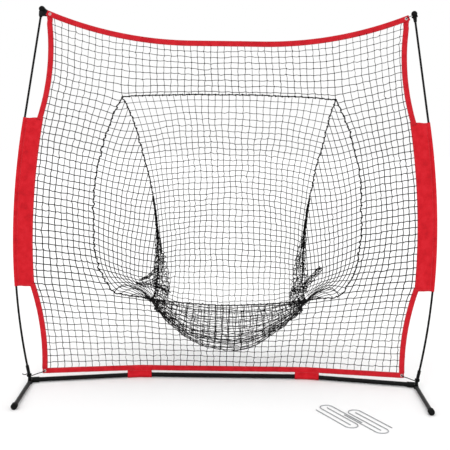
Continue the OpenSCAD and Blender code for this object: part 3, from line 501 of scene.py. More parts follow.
# Woven polyester webbing: round warp cords side by side, crossed by a finer weft, with a slight sheen
def wovenWebbing(name, dark, middle, light, edgeEvery=0.0333):  # edgeEvery is metres of map to a turned edge
    material, add = startMaterial(name)
    cord = 0.0026  # real cords are 1.3 mm apart, drawn twice as coarse
    weftRun = 0.0024
    across, along = clothUv(add, cord, weftRun)
    step = add("ShaderNodeMath", {0: across}, operation="FLOOR")[0]
    weft = add("ShaderNodeMath", {0: step, 1: 0.5, 2: along}, operation="MULTIPLY_ADD")[0]
    weft = add("ShaderNodeMath", {0: ridges(add, weft), 1: 0.45, 2: 0.55}, operation="MULTIPLY_ADD")[0]
    height = add("ShaderNodeMath", {0: ridges(add, across), 1: weft}, operation="MULTIPLY")[0]
    # worn in patches, with painted shade at the turned edges and in the valleys between the cords
    where = add("ShaderNodeTexCoord")["Object"]
    worn = add("ShaderNodeTexNoise", {"Vector": where, "Scale": 35.0, "Detail": 4.0})[0]
    # painted shade: the tone drops within a cord of each turned edge
    inset = add("ShaderNodeMath", {0: across, 1: edgeEvery / cord / 2}, operation="PINGPONG")[0]
    inset = add("ShaderNodeMath", {0: inset, 1: 1.0}, operation="MINIMUM")[0]
    tone = add("ShaderNodeMath", {0: worn, 1: 0.5, 2: -0.45}, operation="MULTIPLY_ADD")[0]
    tone = add("ShaderNodeMath", {0: inset, 1: 0.45, 2: tone}, operation="MULTIPLY_ADD")[0]
    # painted shade: the valleys between the cords are darker and the crowns lighter
    tone = add("ShaderNodeMath", {0: height, 1: 0.55, 2: tone}, operation="MULTIPLY_ADD")[0]
    stops = ((0.1, dark), (0.5, middle), (0.9, light))
    return endMaterial(material, clothShine, tone, stops, height, (0.75, 0.52), height, 0.0005)


# Coated Oxford pack cloth: plain weave of thick polyester yarn, crushed into faint creases, with painted
# shade darkening the creases and the dips of the weave
def oxfordPackCloth():
    material, add = startMaterial("coated polyester Oxford cloth")
    pair = 0.0022 / (2 * math.pi)  # 0.6 mm yarns in pairs, drawn at 2.2 mm a pair
    one, two = (add("ShaderNodeMath", {0: count}, operation="SINE")[0] for count in clothUv(add, pair, pair))
    weave = add("ShaderNodeMath", {0: one, 1: two}, operation="MULTIPLY")[0]
    where = add("ShaderNodeTexCoord")["Object"]
    crease = add("ShaderNodeTexNoise", {"Vector": where, "Scale": 22.0, "Detail": 5.0, "Roughness": 0.6})[0]
    # painted shade: the colour follows the creases and the weave, darker where they dip
    tone = add("ShaderNodeMath", {0: weave, 1: 0.09, 2: crease}, operation="MULTIPLY_ADD")[0]
    height = add("ShaderNodeMath", {0: crease, 1: 2.6}, operation="MULTIPLY")[0]
    height = add("ShaderNodeMath", {0: weave, 1: 0.12, 2: height}, operation="MULTIPLY_ADD")[0]
    # painted shade: the deepest creases take the darkest red
    stops = ((0.2, "#a81520"), (0.45, "#c61924"), (0.8, "#d42833"))
    return endMaterial(material, clothShine, tone, stops, crease, (0.48, 0.66), height, 0.0011)


# Twisted polyethylene netting twine: three black yarns laid together, a little glossy, with painted shade in
# the grooves between the yarns
def twistedTwine():
    material, add = startMaterial("twisted polyethylene twine")
    along, around = (add("ShaderNodeAttribute", attribute_name=name)["Fac"] for name in ("along", "around"))
    yarns, layLength = 3.0, 0.009  # metres
    turns = add("ShaderNodeMath", {0: around, 1: yarns}, operation="MULTIPLY")[0]
    turns = add("ShaderNodeMath", {0: along, 1: 1 / layLength, 2: turns}, operation="MULTIPLY_ADD")[0]
    lay = ridges(add, turns)
    # painted shade: the grooves of the lay are darker and the crowns lighter
    stops = ((0.0, "#050505"), (0.6, "#0b0b0c"), (1.0, "#151516"))
    shine = {"IOR": 1.51, "Specular IOR Level": 0.06}
    return endMaterial(material, shine, lay, stops, lay, (0.65, 0.42), lay, 0.0003)


# Braided polyester cord: sixteen black strands in a diamond braid, with painted shade in the grooves between
# the strands
def braidedCord():
    material, add = startMaterial("braided polyester cord")
    strand = 0.0045  # metres from one strand of the braid to the next
    along, around = clothUv(add, strand, strand)
    slants = (add("ShaderNodeMath", {0: along, 1: around}, operation=way)[0] for way in ("ADD", "SUBTRACT"))
    one, two = (ridges(add, slant) for slant in slants)
    braid = add("ShaderNodeMath", {0: one, 1: two}, operation="MULTIPLY")[0]
    # painted shade: the grooves of the braid are darker and the crowns lighter
    stops = ((0.0, "#050505"), (0.5, "#0b0b0c"), (1.0, "#141415"))
    shine = {"IOR": 1.5, "Specular IOR Level": 0.08}
    return endMaterial(material, shine, braid, stops, braid, (0.75, 0.5), braid, 0.0004)


finishes = {
    "steel": powderCoatedSteel,
    "zinc": zincPlatedSteel,
    "rod": pultrudedFibreglass,
    "rubber": mouldedRubber,
    "wire": galvanisedWire,
    "redWebbing": wovenWebbing("red polyester webbing", "#7c0c16", "#c61a26", "#d93039"),
    "blackWebbing": wovenWebbing("black polyester webbing", "#0d0d0e", "#1b1b1d", "#2b2b2e"),
    "cloth": oxfordPackCloth(),
    "twine": twistedTwine(),
    "cord": braidedCord(),
    "redThread": sewingThread("bonded red sewing thread", "#a81822", "#e4525a"),
    "blackThread": sewingThread("bonded black sewing thread", "#101011", "#3a3a3d"),
}
print("materials made")


# ---- node trees ----
def knottedMeshTree():
    tree, add, entry = startTree("knottedMesh", {"Strand Width": "Float", "Strand Sides": "Int",
                                                 "Knot Radius": "Float", "Seed": "Int", "Twine": "Material"})
    flag = add("GeometryNodeInputNamedAttribute", {"Name": "isKnot"}, data_type="BOOLEAN")[0]
    split = add("GeometryNodeSeparateGeometry", {"Geometry": entry["Geometry"], "Selection": flag})
    curve = add("GeometryNodeMeshToCurve", {"Mesh": split["Inverted"]})[0]
    place = add("GeometryNodeSplineParameter")
    along = {"Name": "along", "Geometry": curve, "Value": place["Length"]}
    kept = add("GeometryNodeStoreNamedAttribute", along)[0]
    radius = add("ShaderNodeMath", {0: entry["Strand Width"], 1: 0.5}, operation="MULTIPLY")[0]
    ring = add("GeometryNodeCurvePrimitiveCircle", {"Resolution": entry["Strand Sides"], "Radius": radius})[0]
    around = {"Name": "around", "Geometry": ring, "Value": place["Factor"]}
    lap = add("GeometryNodeStoreNamedAttribute", around)[0]
    girth = add("GeometryNodeInputNamedAttribute", {"Name": "girth"}, data_type="FLOAT")[0]
    strands = add("GeometryNodeCurveToMesh",
                  {"Fill Caps": True, "Curve": kept, "Profile Curve": lap, "Scale": girth})[0]
    ball = add("GeometryNodeMeshIcoSphere", {"Subdivisions": 1, "Radius": entry["Knot Radius"]})[0]
    spread = []  # how each knot is turned and how it differs in size
    for low, high in ((0.0, 6.28), (0.8, 1.25)):
        values = {0: (low,) * 3, 1: (high,) * 3, "Seed": entry["Seed"]}
        spread.append(add("FunctionNodeRandomValue", values, data_type="FLOAT_VECTOR")[0])
    sown = {"Points": split["Selection"], "Instance": ball, "Rotation": spread[0], "Scale": spread[1]}
    knots = add("GeometryNodeInstanceOnPoints", sown)[0]
    both = add("GeometryNodeJoinGeometry", {0: knots})[0]
    tree.links.new(strands, both.node.inputs[0])
    return endTree(tree, add, both, entry["Twine"])


def rowTree(tree, add, entry, pitch, item, material):  # the item at every pitch, turned to follow the line
    curve = add("GeometryNodeMeshToCurve", {"Mesh": entry["Geometry"]})[0]
    spaced = add("GeometryNodeResampleCurve", {"Curve": curve, "Length": entry[pitch]}, mode="LENGTH")[0]
    tangent = add("GeometryNodeInputTangent")[0]
    turn = add("FunctionNodeAlignRotationToVector", {"Vector": tangent}, axis="Z")[0]
    rows = add("GeometryNodeInstanceOnPoints", {"Points": spaced, "Instance": item, "Rotation": turn})[0]
    return endTree(tree, add, rows, entry[material])


def stitchTree():
    tree, add, entry = startTree("stitchRow", {"Stitch Pitch": "Float", "Stitch Length": "Float",
                                               "Thread Radius": "Float", "Thread": "Material"})
    bar = add("GeometryNodeMeshCylinder",
              {"Vertices": 5, "Radius": entry["Thread Radius"], "Depth": entry["Stitch Length"]})[0]
    return rowTree(tree, add, entry, "Stitch Pitch", bar, "Thread")


def lashingTree():
    tree, add, entry = startTree("lashingRow", {"Lashing Pitch": "Float", "Ring Radius": "Float",
                                                "Twine Radius": "Float", "Twine": "Material"})
    loop = add("GeometryNodeCurvePrimitiveCircle", {"Resolution": 8, "Radius": entry["Ring Radius"]})[0]
    section = add("GeometryNodeCurvePrimitiveCircle", {"Resolution": 4, "Radius": entry["Twine Radius"]})[0]
    ring = add("GeometryNodeCurveToMesh", {"Curve": loop, "Profile Curve": section})[0]
    return rowTree(tree, add, entry, "Lashing Pitch", ring, "Twine")


knottedMesh, stitchRow, lashingRow = knottedMeshTree(), stitchTree(), lashingTree()
print("node trees built")


# ---- the ties at the corners ----
tie = {"lowD": 5.0, "lowV": 22.0, "turns": 2, "steps": 14, "thinD": 4.0, "underBall": 11.0,
       "slack": 0.5,  # room between two turns
       "off": 0.3,  # room round a socket
       "lowStep": 3.0, "thinStep": 2.5,
       "tails": {-1: 48.0, 1: 22.0}, "socketWall": 3.25}


def aroundRod(middle, lean, radius, rise, start, side):  # a coil round a rod in the leaning plane
    out = []
    for i in range(tie["turns"] * tie["steps"] + 1):
        a = start + 2 * math.pi * i / tie["steps"]
        inward, height = radius * math.cos(a), rise * i / tie["steps"]
        x = middle[0] - inward * math.cos(lean) - height * math.sin(lean)
        v = middle[1] - inward * math.sin(lean) + height * math.cos(lean)
        out.append(onPoles(x, v, radius * math.sin(a), side))
    return out


def tiedCord(name, node, path, diameter):
    piece = fasten(tubePiece(name, path, diameter, 10), "black_cord", node)
    real = placed(path)
    tuple(real[0])
    [tuple(p) for p in real]


def lowerCornerCord(side, word):
    hole = np.array([side * edge["lowerWaist"], bottomY(edge["lowerWaist"]), cornerZ])
    radius = rod["d"] / 2 + tie["socketWall"] + tie["lowD"] / 2 + tie["off"]
    middle = (hubX + tie["lowV"] * socketSin, tie["lowV"] * socketCos)
    coil = aroundRod(middle, math.radians(-rod["socketLean"]), radius, tie["lowD"] + tie["slack"], 0.4, side)
    start = [hole + (-side, 9, 1), hole + (0, 1, 0), hole + (side, -5, -1), hole + (8 * side, -7, -5)]
    sag = (hole + coil[0]) / 2 + (0, -5, 0)
    tail = side * tie["tails"][side]
    loose = [coil[-1] + (tail * t, -6 * math.sin(math.pi * t), 3 * math.sin(2 * math.pi * t))
             for t in (0.35, 0.7, 1.0)]
    path = finePath(start + [sag] + coil + loose, tie["lowStep"])
    tiedCord("cornerCordLow" + word, "corner_cord_bottom_" + word.lower(), path, tie["lowD"])


def grommetTop():
    r = edge["topRadius"] + edge["width"] / 2
    turn = math.asin((edge["topCorner"] - edge["topFlat"]) / r) - math.radians(0.5)
    return np.array([edge["topFlat"] + r * math.sin(turn), topMiddleV - r * math.cos(turn)])


def upperCornerCord():
    hole = grommetTop()
    middle = ballMiddle + tie["underBall"] * np.array([tipSin, -tipCos])
    radius = math.sqrt((rod["ballD"] / 2) ** 2 - tie["underBall"] ** 2) + tie["thinD"] / 2 + 0.5
    coil = aroundRod(middle, math.radians(rod["tipLean"]), radius, -tie["thinD"] - 0.6, 0.5, 1)
    start = [onPoles(hole[0], hole[1], w) for w in (-7, -1, 4)] + [onPoles(hole[0] + 3, hole[1] + 3, 7)]
    between = onPoles(mix(hole[0], middle[0], 0.5), mix(hole[1], middle[1], 0.5) + 5, 9)
    path = finePath(start + [between] + coil, tie["thinStep"])
    tiedCord("cornerCordTop", "corner_cord_top_right", path, tie["thinD"])


for side, word in bothSides:
    lowerCornerCord(side, word)
upperCornerCord()
print("corner cords tied")


def loosened(settings, seed, where, ease, chance):  # how far a knot lies from its even place
    return wander(seed, where, settings["wander"] * ease) + chance.normal(0, settings["jitter"], 3) * ease


# height in mm, and the share of its width that the twine is drawn with there
twineGirth = ((250, 0.92), (400, 1.05), (600, 1.4), (1000, 1.3), (1400, 1.1), (1700, 0.9), (1950, 0.74))


def nettingPiece(name, lines, knots, settings, *nodes):
    heights, shares = zip(*settings.get("girth", ((0, 1.0), (1, 1.0))))
    lines = [line for line in lines if len(line) > 1]
    girths = [float(np.interp(p[2], heights, shares)) for line in lines + [knots] for p in line]
    sizes = {"Strand Width": settings["strand"], "Strand Sides": 4, "Knot Radius": settings["knot"],
             "Seed": settings["knotSeed"], "Twine": finishes["twine"]}
    piece = fasten(growPiece(name, knottedMesh, sizes, lines, knots, girths), "knotted_netting", *nodes)
    print(name, len(piece.data.polygons), "faces")


# ---- front net: one knotted panel, hung square, its rows and columns drawn aside by the mouth ----
frontNet = {
    "columns": 26,  # meshes from the middle to each side
    "rows": 51,  # meshes from the top border to the bottom one
    "rimColumn": 15.5,
    "rimTop": 8.5,
    "rimLow": 38.5,
    "crowding": 0.05,  # the rows lie closer toward the bottom
    "tuck": 3,  # how far the net reaches into the borders
    "nearCorner": 1000,  # about where its top corners lie, from the middle
    "settling": 2500,  # rounds
    "strand": 4.0,
    "girth": twineGirth,
    "knot": 3.6,
    "wander": 2.6,
    "jitter": 1.5,
    "seed": 11,
    "knotSeed": 3,
}


def frontGrid(settings, columns, rows, rim, top, low):  # points at each crossing and midway between them
    width, height, tuck = 2 * columns + 1, rows + 1, settings["tuck"]
    grid = np.zeros((height, width, 2))
    held = np.zeros((height, width), bool)
    shares = [(a - columns) / columns for a in range(width)]
    corner = netEdge(leanV(underTop(settings["nearCorner"]))) + tuck
    zTop = [underTop(f * corner) + tuck for f in shares]
    zLow = [bottomMiddle(f * (cornerX + tuck)) + edge["width"] / 2 - tuck for f in shares]
    for b in range(height):
        t = b / rows
        t += settings["crowding"] * t * (1 - t)
        for a, f in enumerate(shares):
            z = mix(zTop[a], zLow[a], t)
            z = mix(z, mix(zTop[0], zLow[0], t), abs(f) ** 3 * 4 * t * (1 - t))
            grid[b, a] = (f * (netEdge(leanV(z)) + tuck), z)
            held[b, a] = a in (0, width - 1) or b in (0, rows)
    for b in range(top, low + 1):
        z = mix(mouth["topZ"], mouth["lowZ"], (b - top) / (low - top))
        for side in (-1, 1):
            grid[b, columns + side * rim] = (side * mouthSide(z) + mouth["shift"], z)
            held[b, columns + side * rim] = True
    for a in range(columns - rim, columns + rim + 1):
        f = (a - columns) / rim
        grid[top, a] = (f * mouth["topX"] + mouth["shift"], mouthTop(f * mouth["topX"]))
        grid[low, a] = (f * mouth["lowX"] + mouth["shift"], mouthSill(f * mouth["lowX"]))
        held[top, a] = held[low, a] = True
    free = ~held
    for _ in range(settings["settling"]):  # each crossing settles midway between its neighbours
        rest = grid.copy()
        rest[1:-1, 1:-1] = (grid[:-2, 1:-1] + grid[2:, 1:-1] + grid[1:-1, :-2] + grid[1:-1, 2:]) / 4
        grid[free] = rest[free]
    return grid, held


def makeFrontNet(settings):
    counts = ("columns", "rows", "rimColumn", "rimTop", "rimLow")
    columns, rows, rim, top, low = (int(settings[name] * 2) for name in counts)  # in half meshes
    grid, held = frontGrid(settings, columns, rows, rim, top, low)
    height, width = held.shape
    chance = np.random.default_rng(settings["seed"])
    points = np.zeros((height, width, 3))
    for b in range(height):
        for a in range(width):
            x, z = grid[b, a]
            loose = 0.0 if held[b, a] else 1.0
            point = np.array([x, netY(x, z), z])
            points[b, a] = point + loosened(settings, 1.3, (x, 0, z), loose, chance)
    lines = []

    def inMouth(b, a):
        return abs(a - columns) < rim and top < b < low

    def inRim(b, a):
        return (abs(a - columns) <= rim and b in (top, low)) or (abs(a - columns) == rim and top <= b <= low)

    def collect(cells):  # a line breaks at the mouth and along its rim, where the lashed cord lies
        run = []
        for k, cell in enumerate(cells):
            if inMouth(*cell) or (run and inRim(*cell) and inRim(*cells[k - 1])):
                lines.append(run)
                run = []
            if not inMouth(*cell):
                run.append(points[cell])
        lines.append(run)

    for b in range(2, height - 1, 2):
        collect([(b, a) for a in range(width)])
    for a in range(1, width - 1, 2):
        collect([(b, a) for b in range(height)])
    crossings = [(b, a) for b in range(2, height - 1, 2) for a in range(1, width - 1, 2)]
    knots = [points[cell] for cell in crossings if not inMouth(*cell)]
    nettingPiece("frontNet", lines, knots, settings, "net_upper", "net_lower", "net_left", "net_right")


makeFrontNet(frontNet)

# ---- pocket: a long panel that hangs back from the mouth's top and folds up to its sill ----
pocketNet = {
    "columns": 15,
    "mesh": 40.0,  # one mesh along the panel
    "backEnd": 5.0,
    "strands": {"pocketBack": 3.1, "pocketBag": 3.4},
    "girth": twineGirth,
    "wander": 5.0,
    "jitter": 1.8,
    "seed": 23,
    "knotSeed": 5,
    "fold": 16.0,
    "crowdBag": 0.3,  # the columns crowd at the full bag's seams
    "easeSill": 0.18,
    "arch": {-1: 0.16, 1: 0.24},  # how far the rows drop toward the left and right seams
}


def evenPlaces(line, places, mesh):  # places along a line at which half meshes end
    run = runAlong(line)
    count = 2 * int(round(run[-1] / mesh))
    return [float(np.interp(run[-1] * k / count, run, places)) for k in range(count + 1)]


def pocketSurface(settings, c, s, chance):
    share = abs(c) / settings["columns"]
    power = 1.0 + settings["crowdBag"] * smooth((s - 0.8) / 3.0) - settings["easeSill"] * smooth(s - 9.0)
    u = math.copysign(1 - (1 - share) ** power, c) if c else 0.0
    arch = settings["arch"][-1 if c < 0 else 1]
    p = pocketPoint(u, s + arch * share ** 2.2 * smooth(s / 0.8) * (1 - smooth((s - 3.2) / 1.8)))
    ease = math.sin(math.pi * min(1.0, s / 0.8) / 2) * min(1.0, (10 - s) / 0.6) * (1 - share ** 6)
    p = p + loosened(settings, 2.1, p, ease, chance)
    fold = settings["fold"] * smooth((s - 3.2) / 2) * smooth((9.6 - s) / 1.5) * share ** 3 * (1 - share ** 8)
    return p + (0, fold * math.sin(c * 2.3 + s), 0.5 * fold * math.cos(c * 1.9 + 1.3 * s))


def makePocketPanel(settings):
    fine = np.linspace(0, 10, 801)
    rows = evenPlaces([pocketPoint(0.0, s) for s in fine], fine, settings["mesh"])
    chance = np.random.default_rng(settings["seed"])
    reach = 2 * settings["columns"]
    grid = [[pocketSurface(settings, a / 2, s, chance) for a in range(-reach, reach + 1)] for s in rows]
    split = min(range(0, len(rows), 2), key=lambda k: abs(rows[k] - settings["backEnd"]))
    inner = range(2, 2 * reach - 1, 2)
    for name, first, last, node in (("pocketBack", 0, split, "pocket_back"),
                                    ("pocketBag", split, len(rows) - 1, "pocket_bag")):
        lines = [grid[k] for k in range(max(first, 2), last if last == split else last - 1, 2)]
        lines += [[grid[k][a] for k in range(first, last + 1)] for a in inner]
        knots = [grid[k][a] for k in range(first + 2, last, 2) for a in inner]
        strand = settings["strands"][name]
        nettingPiece(name, lines, knots, {**settings, "strand": strand, "knot": strand}, node)


makePocketPanel(pocketNet)

# ---- the bag's slack lies in it as a third layer ----
slackNet = {"columns": 9, "rows": 8, "from": 5.7, "to": 8.7, "size": 0.84, "middleY": 230.0, "middleZ": 340.0,
            "spread": 0.94, "flat": 0.14, "strand": 4.0, "knot": 3.8, "wander": 12.0, "jitter": 3.0,
            "seed": 29, "knotSeed": 15}


def makeSlack(settings):
    chance = np.random.default_rng(settings["seed"])
    heart = np.array([0, settings["middleY"], settings["middleZ"]])
    count, reach = 2 * settings["rows"], 2 * settings["columns"]
    grid = []
    for k in range(count + 1):
        s = mix(settings["from"], settings["to"], k / count)
        row = []
        for a in range(-reach, reach + 1):
            u = settings["spread"] * math.sin(math.pi / 2 * a / reach * 0.98)
            p = pocketPoint(u, s)
            away = (p - heart) * (1, settings["size"], settings["size"] - settings["flat"] * u * u)
            row.append(heart + away + loosened(settings, 6.1, p, 1.0, chance))
        grid.append(row)
    lines = grid[::2] + [[row[a] for row in grid] for a in range(0, 2 * reach + 1, 2)]
    nettingPiece("pocketSlack", lines, [p for row in grid[::2] for p in row[::2]], settings)


makeSlack(slackNet)

# ---- side gussets: their columns run beside the mouth's cord and stop at the seam ----
sideNet = {"first": 0.03, "last": 1.14, "mesh": 38.5, "column": 41.0, "strand": 3.3, "girth": twineGirth,
           "knot": 3.4, "slack": 16.0, "lift": 62.0, "hem": 5.0, "hemStep": 9.0, "wander": 4.0, "jitter": 1.6,
           "seed": 31, "knotSeed": 7}


def gussetEnds(side, t):  # where a row meets the mouth's cord and the seam: past 1 it follows the sill
    if t < 1:
        return mouthRim(side, mouth["sideShare"] * t), pocketPoint(side, 5.4 * t + 1.6 * t ** 10)
    past = (t - 1) / 0.2
    return mouthRim(side, mix(mouth["sideShare"], 1, past)), pocketPoint(side, 7 + 1.2 * past)


def makePocketSide(settings, side, word):
    chance = np.random.default_rng(settings["seed"] + side)
    fine = np.linspace(settings["first"], settings["last"], 300)
    rims, seams = (np.array(line) for line in zip(*(gussetEnds(side, t) for t in fine)))
    columns = int(np.linalg.norm(rims - seams, axis=1).max() / settings["column"])
    grid, ends = [], []  # a row's points as far as the seam, and the seam itself
    for t in evenPlaces(mix(rims, seams, 0.4), fine, settings["mesh"]):
        rim, seam = gussetEnds(side, t)
        width = float(np.linalg.norm(seam - rim))
        row = []
        for a in range(2 * columns + 2):
            crowd = a / 2 * settings["column"] / max(width, 1)
            shown = crowd <= 1.0
            crowd = min(crowd, 1.0)
            p = mix(rim, seam, crowd)
            bow = math.sin(math.pi * crowd)
            ease = bow * math.sin(math.pi * min(1.0, t / 1.2))
            lift = settings["lift"] * smooth((t - 0.78) / 0.22) * (1 - smooth((t - 1) / 0.16))
            p = p + (0, 0, lift * bow - settings["slack"] * ease)
            p = p + loosened(settings, 3.7 * side, p, ease, chance)
            if shown:
                row.append(p)
        grid.append(row)
        ends.append(seam)
    lines = [row + [seam] for row, seam in zip(grid[::2], ends[::2])]
    for a in range(2, 2 * columns + 2, 2):
        lines.append([])
        for row in grid:
            if a < len(row):
                lines[-1].append(row[a])
            else:
                lines.append([])
    knots = [p for row in grid[::2] for p in row[2::2]]
    nettingPiece("pocketSide" + word, lines, knots, settings, "pocket_side_" + word.lower())
    rim, seam = gussetEnds(side, 0.999)
    arch = []  # the corded hem of the lowest row, which stands up in an uneven arch
    for c in np.linspace(0, 1, 14):
        rise = settings["lift"] * math.sin(math.pi * c ** 0.8) * (1 + 0.12 * math.sin(9 * c))
        arch.append(mix(rim, seam, c) + (0, -4, rise))
    hem = tubePiece("pocketHem" + word, finePath(arch, settings["hemStep"]), settings["hem"], 8)
    fasten(hem, "black_cord")


for side, word in bothSides:
    makePocketSide(sideNet, side, word)

# ---- gathers: slack netting bunched along the lower part of each seam ----
gatherNet = {
    "from": 2.4,
    "to": 7.2,
    "thinFrom": 0.66,  # place from which every second line has ended
    "pleats": 3,
    "lines": 12,
    "ring": 30.0,
    # place along the seam, from 0 to 1, and half width there
    "widths": ((0.0, 4.0), (0.18, 8.0), (0.24, 18.0), (0.33, 34.0), (0.43, 50.0), (0.56, 54.0), (0.7, 60.0),
               (1.0, 50.0)),
    # place along the seam and share of the half width by which it lies to the inside of the seam
    "inward": ((0.0, 0.3), (0.4, 0.35), (0.6, 0.6), (1.0, 1.1)),
    "ruffle": 5.0,
    "strand": 3.8,
    "knot": 3.8,
    "seed": 47,
    "knotSeed": 9,
}


def makeGather(settings, side, word):
    chance = np.random.default_rng(settings["seed"] + side)
    first, last = settings["from"], settings["to"]
    line = [pocketPoint(side, s) for s in np.linspace(first, last, 61)]
    count = 2 * int(round(runAlong(line)[-1] / settings["ring"]))
    grid = []
    for k in range(count + 1):
        t = k / count
        s = mix(first, last, t)
        ahead = unit(pocketPoint(side, s + 0.05) - pocketPoint(side, s - 0.05))
        inside = np.array([-side, -0.3, 0.0])
        inward = unit(inside - ahead * np.dot(ahead, inside))
        front = np.cross(ahead, inward)
        radius, share = (float(np.interp(t, *zip(*settings[name]))) for name in ("widths", "inward"))
        row = []
        for a in range(settings["lines"]):
            w = a / settings["lines"]
            star = 0.25 + 0.75 * abs(math.sin(settings["pleats"] * math.pi * w + 0.9 * math.sin(7 * t)))
            angle = 2 * math.pi * w + 0.5 * math.sin(5 * t + side)
            off = inward * (math.cos(angle) * star + share) + front * (math.sin(angle) * star)
            ruffle = chance.normal(0, 1, 3) * settings["ruffle"] * min(1.0, radius / 20)
            row.append(pocketPoint(side, s) + off * radius + ruffle)
        grid.append(row)
    stop = int(len(grid) * settings["thinFrom"])
    lines = [row + [row[0]] for row in grid[:stop:2]] + [row[::2] for row in grid[stop::4]]
    lines += [[row[a] for row in (grid[:stop] if a % 2 else grid)] for a in range(settings["lines"])]
    nettingPiece("pocketGather" + word, lines, [p for row in grid[:stop:2] for p in row], settings)


for side, word in bothSides:
    makeGather(gatherNet, side, word)

# ---- creases: where a gather throws a fold of netting out to one side ----
creaseNet = {
    # side, place along the seam, reach outward, to the front and upward, width at the foot and at the tip
    "folds": ((-1, 4.8, 122.0, 60.0, -2.0, 70.0, 8.0), (-1, 4.25, 100.0, 50.0, -74.0, 26.0, 8.0),
              (1, 5.1, 100.0, 90.0, 150.0, 34.0, 28.0)),
    "rung": 15.0,
    "sag": 16.0,  # only of the folds that stand out level
    "level": 60.0,  # a fold that rises less than this
    "hollow": 12.0,
    "ruffle": 2.4,
    "strand": 5.0,
    "knot": 4.6,
    "seed": 53,
    "knotSeed": 17,
}


def makeCreases(settings):
    chance = np.random.default_rng(settings["seed"])
    lines, knots = [], []
    for side, s, out, ahead, rise, footWidth, tipWidth in settings["folds"]:
        foot = pocketPoint(side, s)
        reach = np.array([side * out, -ahead, rise])
        across = unit(np.cross(reach, (0, 1, 0)))
        count = int(np.linalg.norm(reach) / settings["rung"])
        strips = []
        for k in range(count + 1):
            t = k / count
            sag = settings["sag"] * math.sin(math.pi * t) * (rise < settings["level"])
            middle = foot + reach * t - (0, 0, sag)
            half = mix(footWidth, tipWidth, t ** 0.8) / 2
            strips.append([])
            for b in (-1, -0.33, 0.33, 1):
                p = middle + across * half * b + (0, settings["hollow"] * (1 - b * b), 0)
                strips[-1].append(p + chance.normal(0, settings["ruffle"], 3))
        lines += strips + [list(line) for line in zip(*strips)]
        knots += [p for row in strips for p in row]
    nettingPiece("pocketCreases", lines, knots, settings)


makeCreases(creaseNet)

# ---- cords sewn round the mouth and down the seams, lashed on with twine at every mesh ----
seamCord = {"width": 7.2, "sides": 8, "step": 7.0, "lash": 38.0, "twine": 3.2, "mesh": 40.0, "kink": 3.8,
            "wanderMouth": 1.6, "wanderSeam": 2.0, "slackSeam": 0.6, "slackTaut": 0.3, "slackSide": 0.85}


def cordSlack(name, p):  # the mouth's top and sill are drawn straight by the pocket's weight
    if name != "mouthCord":
        return seamCord["slackSeam"]
    inside = abs(p[0] - mouth["shift"]) < mouth["topX"] - 8
    taut = inside and (p[2] > mouth["topZ"] - 8 or p[2] < mouth["lowZ"] - 4)
    return seamCord["slackTaut"] if taut else seamCord["slackSide"]


def lashedCord(name, path, closed, node, seed):
    chance = np.random.default_rng(seed)
    every = max(1, int(seamCord["mesh"] / 2 / seamCord["step"]))
    # each mesh tugs the cord its own way
    pulls = chance.normal(0, seamCord["kink"], (len(path) // every + 2, 3))
    pulls[0] = pulls[-1] = 0
    run = np.arange(len(path)) / every
    tugs = np.stack([np.interp(run, range(len(pulls)), pull) for pull in pulls.T], axis=1)
    path = path + tugs * np.array([[cordSlack(name, p)] for p in path])
    fasten(tubePiece(name, path, seamCord["width"], seamCord["sides"], closed), "black_cord", node)
    sizes = {"Lashing Pitch": seamCord["lash"], "Ring Radius": seamCord["width"] / 2 + 0.5,
             "Twine Radius": seamCord["twine"], "Twine": finishes["twine"]}
    line = np.vstack([path, path[:1]]) if closed else path
    fasten(growPiece(name + "Lashing", lashingRow, sizes, [line]), "knotted_netting")


def mouthPath():
    half = mouth["lowX"] * mouth["front"]
    points = [mouthEdge(x, mouthTop(x)) for x in np.linspace(-mouth["topX"], mouth["topX"], 41)]
    points += [mouthRim(1, t) for t in np.linspace(0, 1, 49)[1:]]
    points += [mouthEdge(x, mouthSill(x)) for x in np.linspace(half, -half, 31)[1:-1]]
    points += [mouthRim(-1, t) for t in np.linspace(1, 0, 49)[:-1]]
    path = finePath(points + points[:1], seamCord["step"])[:-1]
    return np.array([p + wander(5.5, p, seamCord["wanderMouth"]) for p in path])


lashedCord("mouthCord", mouthPath(), True, "mouth_cord", 61)
for side, word in bothSides:
    seam = [mouthRim(side, 0.0) + (0, 5, 0)] + [pocketPoint(side, s) for s in np.linspace(0.3, 9.85, 60)]
    seam = finePath([p + wander(4.4 * side, p, seamCord["wanderSeam"]) for p in seam], seamCord["step"])
    lashedCord("pocketSeam" + word, seam, False, "pocket_seam_" + word.lower(), 67 + side)
print("cords lashed")

# ---- webbing borders: the side ones lie tucked behind the top one where they meet it ----
webbing = {"width": 31.0, "overlap": 14.0, "foot": 12.5, "tuck": 3.4, "tuckRun": 30.0, "aside": 1.3,
           "crown": 0.5, "bevel": 1.2, "step": 9.0, "pucker": 0.5, "stitchIn": 4.5,
           "stitchPitch": 6.0, "stitch": 4.2, "thread": 0.55, "proud": 0.15}


def stitches(name, rows, thread, slotName, pitch):
    sizes = {"Stitch Pitch": pitch, "Stitch Length": webbing["stitch"], "Thread Radius": webbing["thread"],
             "Thread": finishes[thread]}
    fasten(growPiece(name, stitchRow, sizes, rows), slotName)


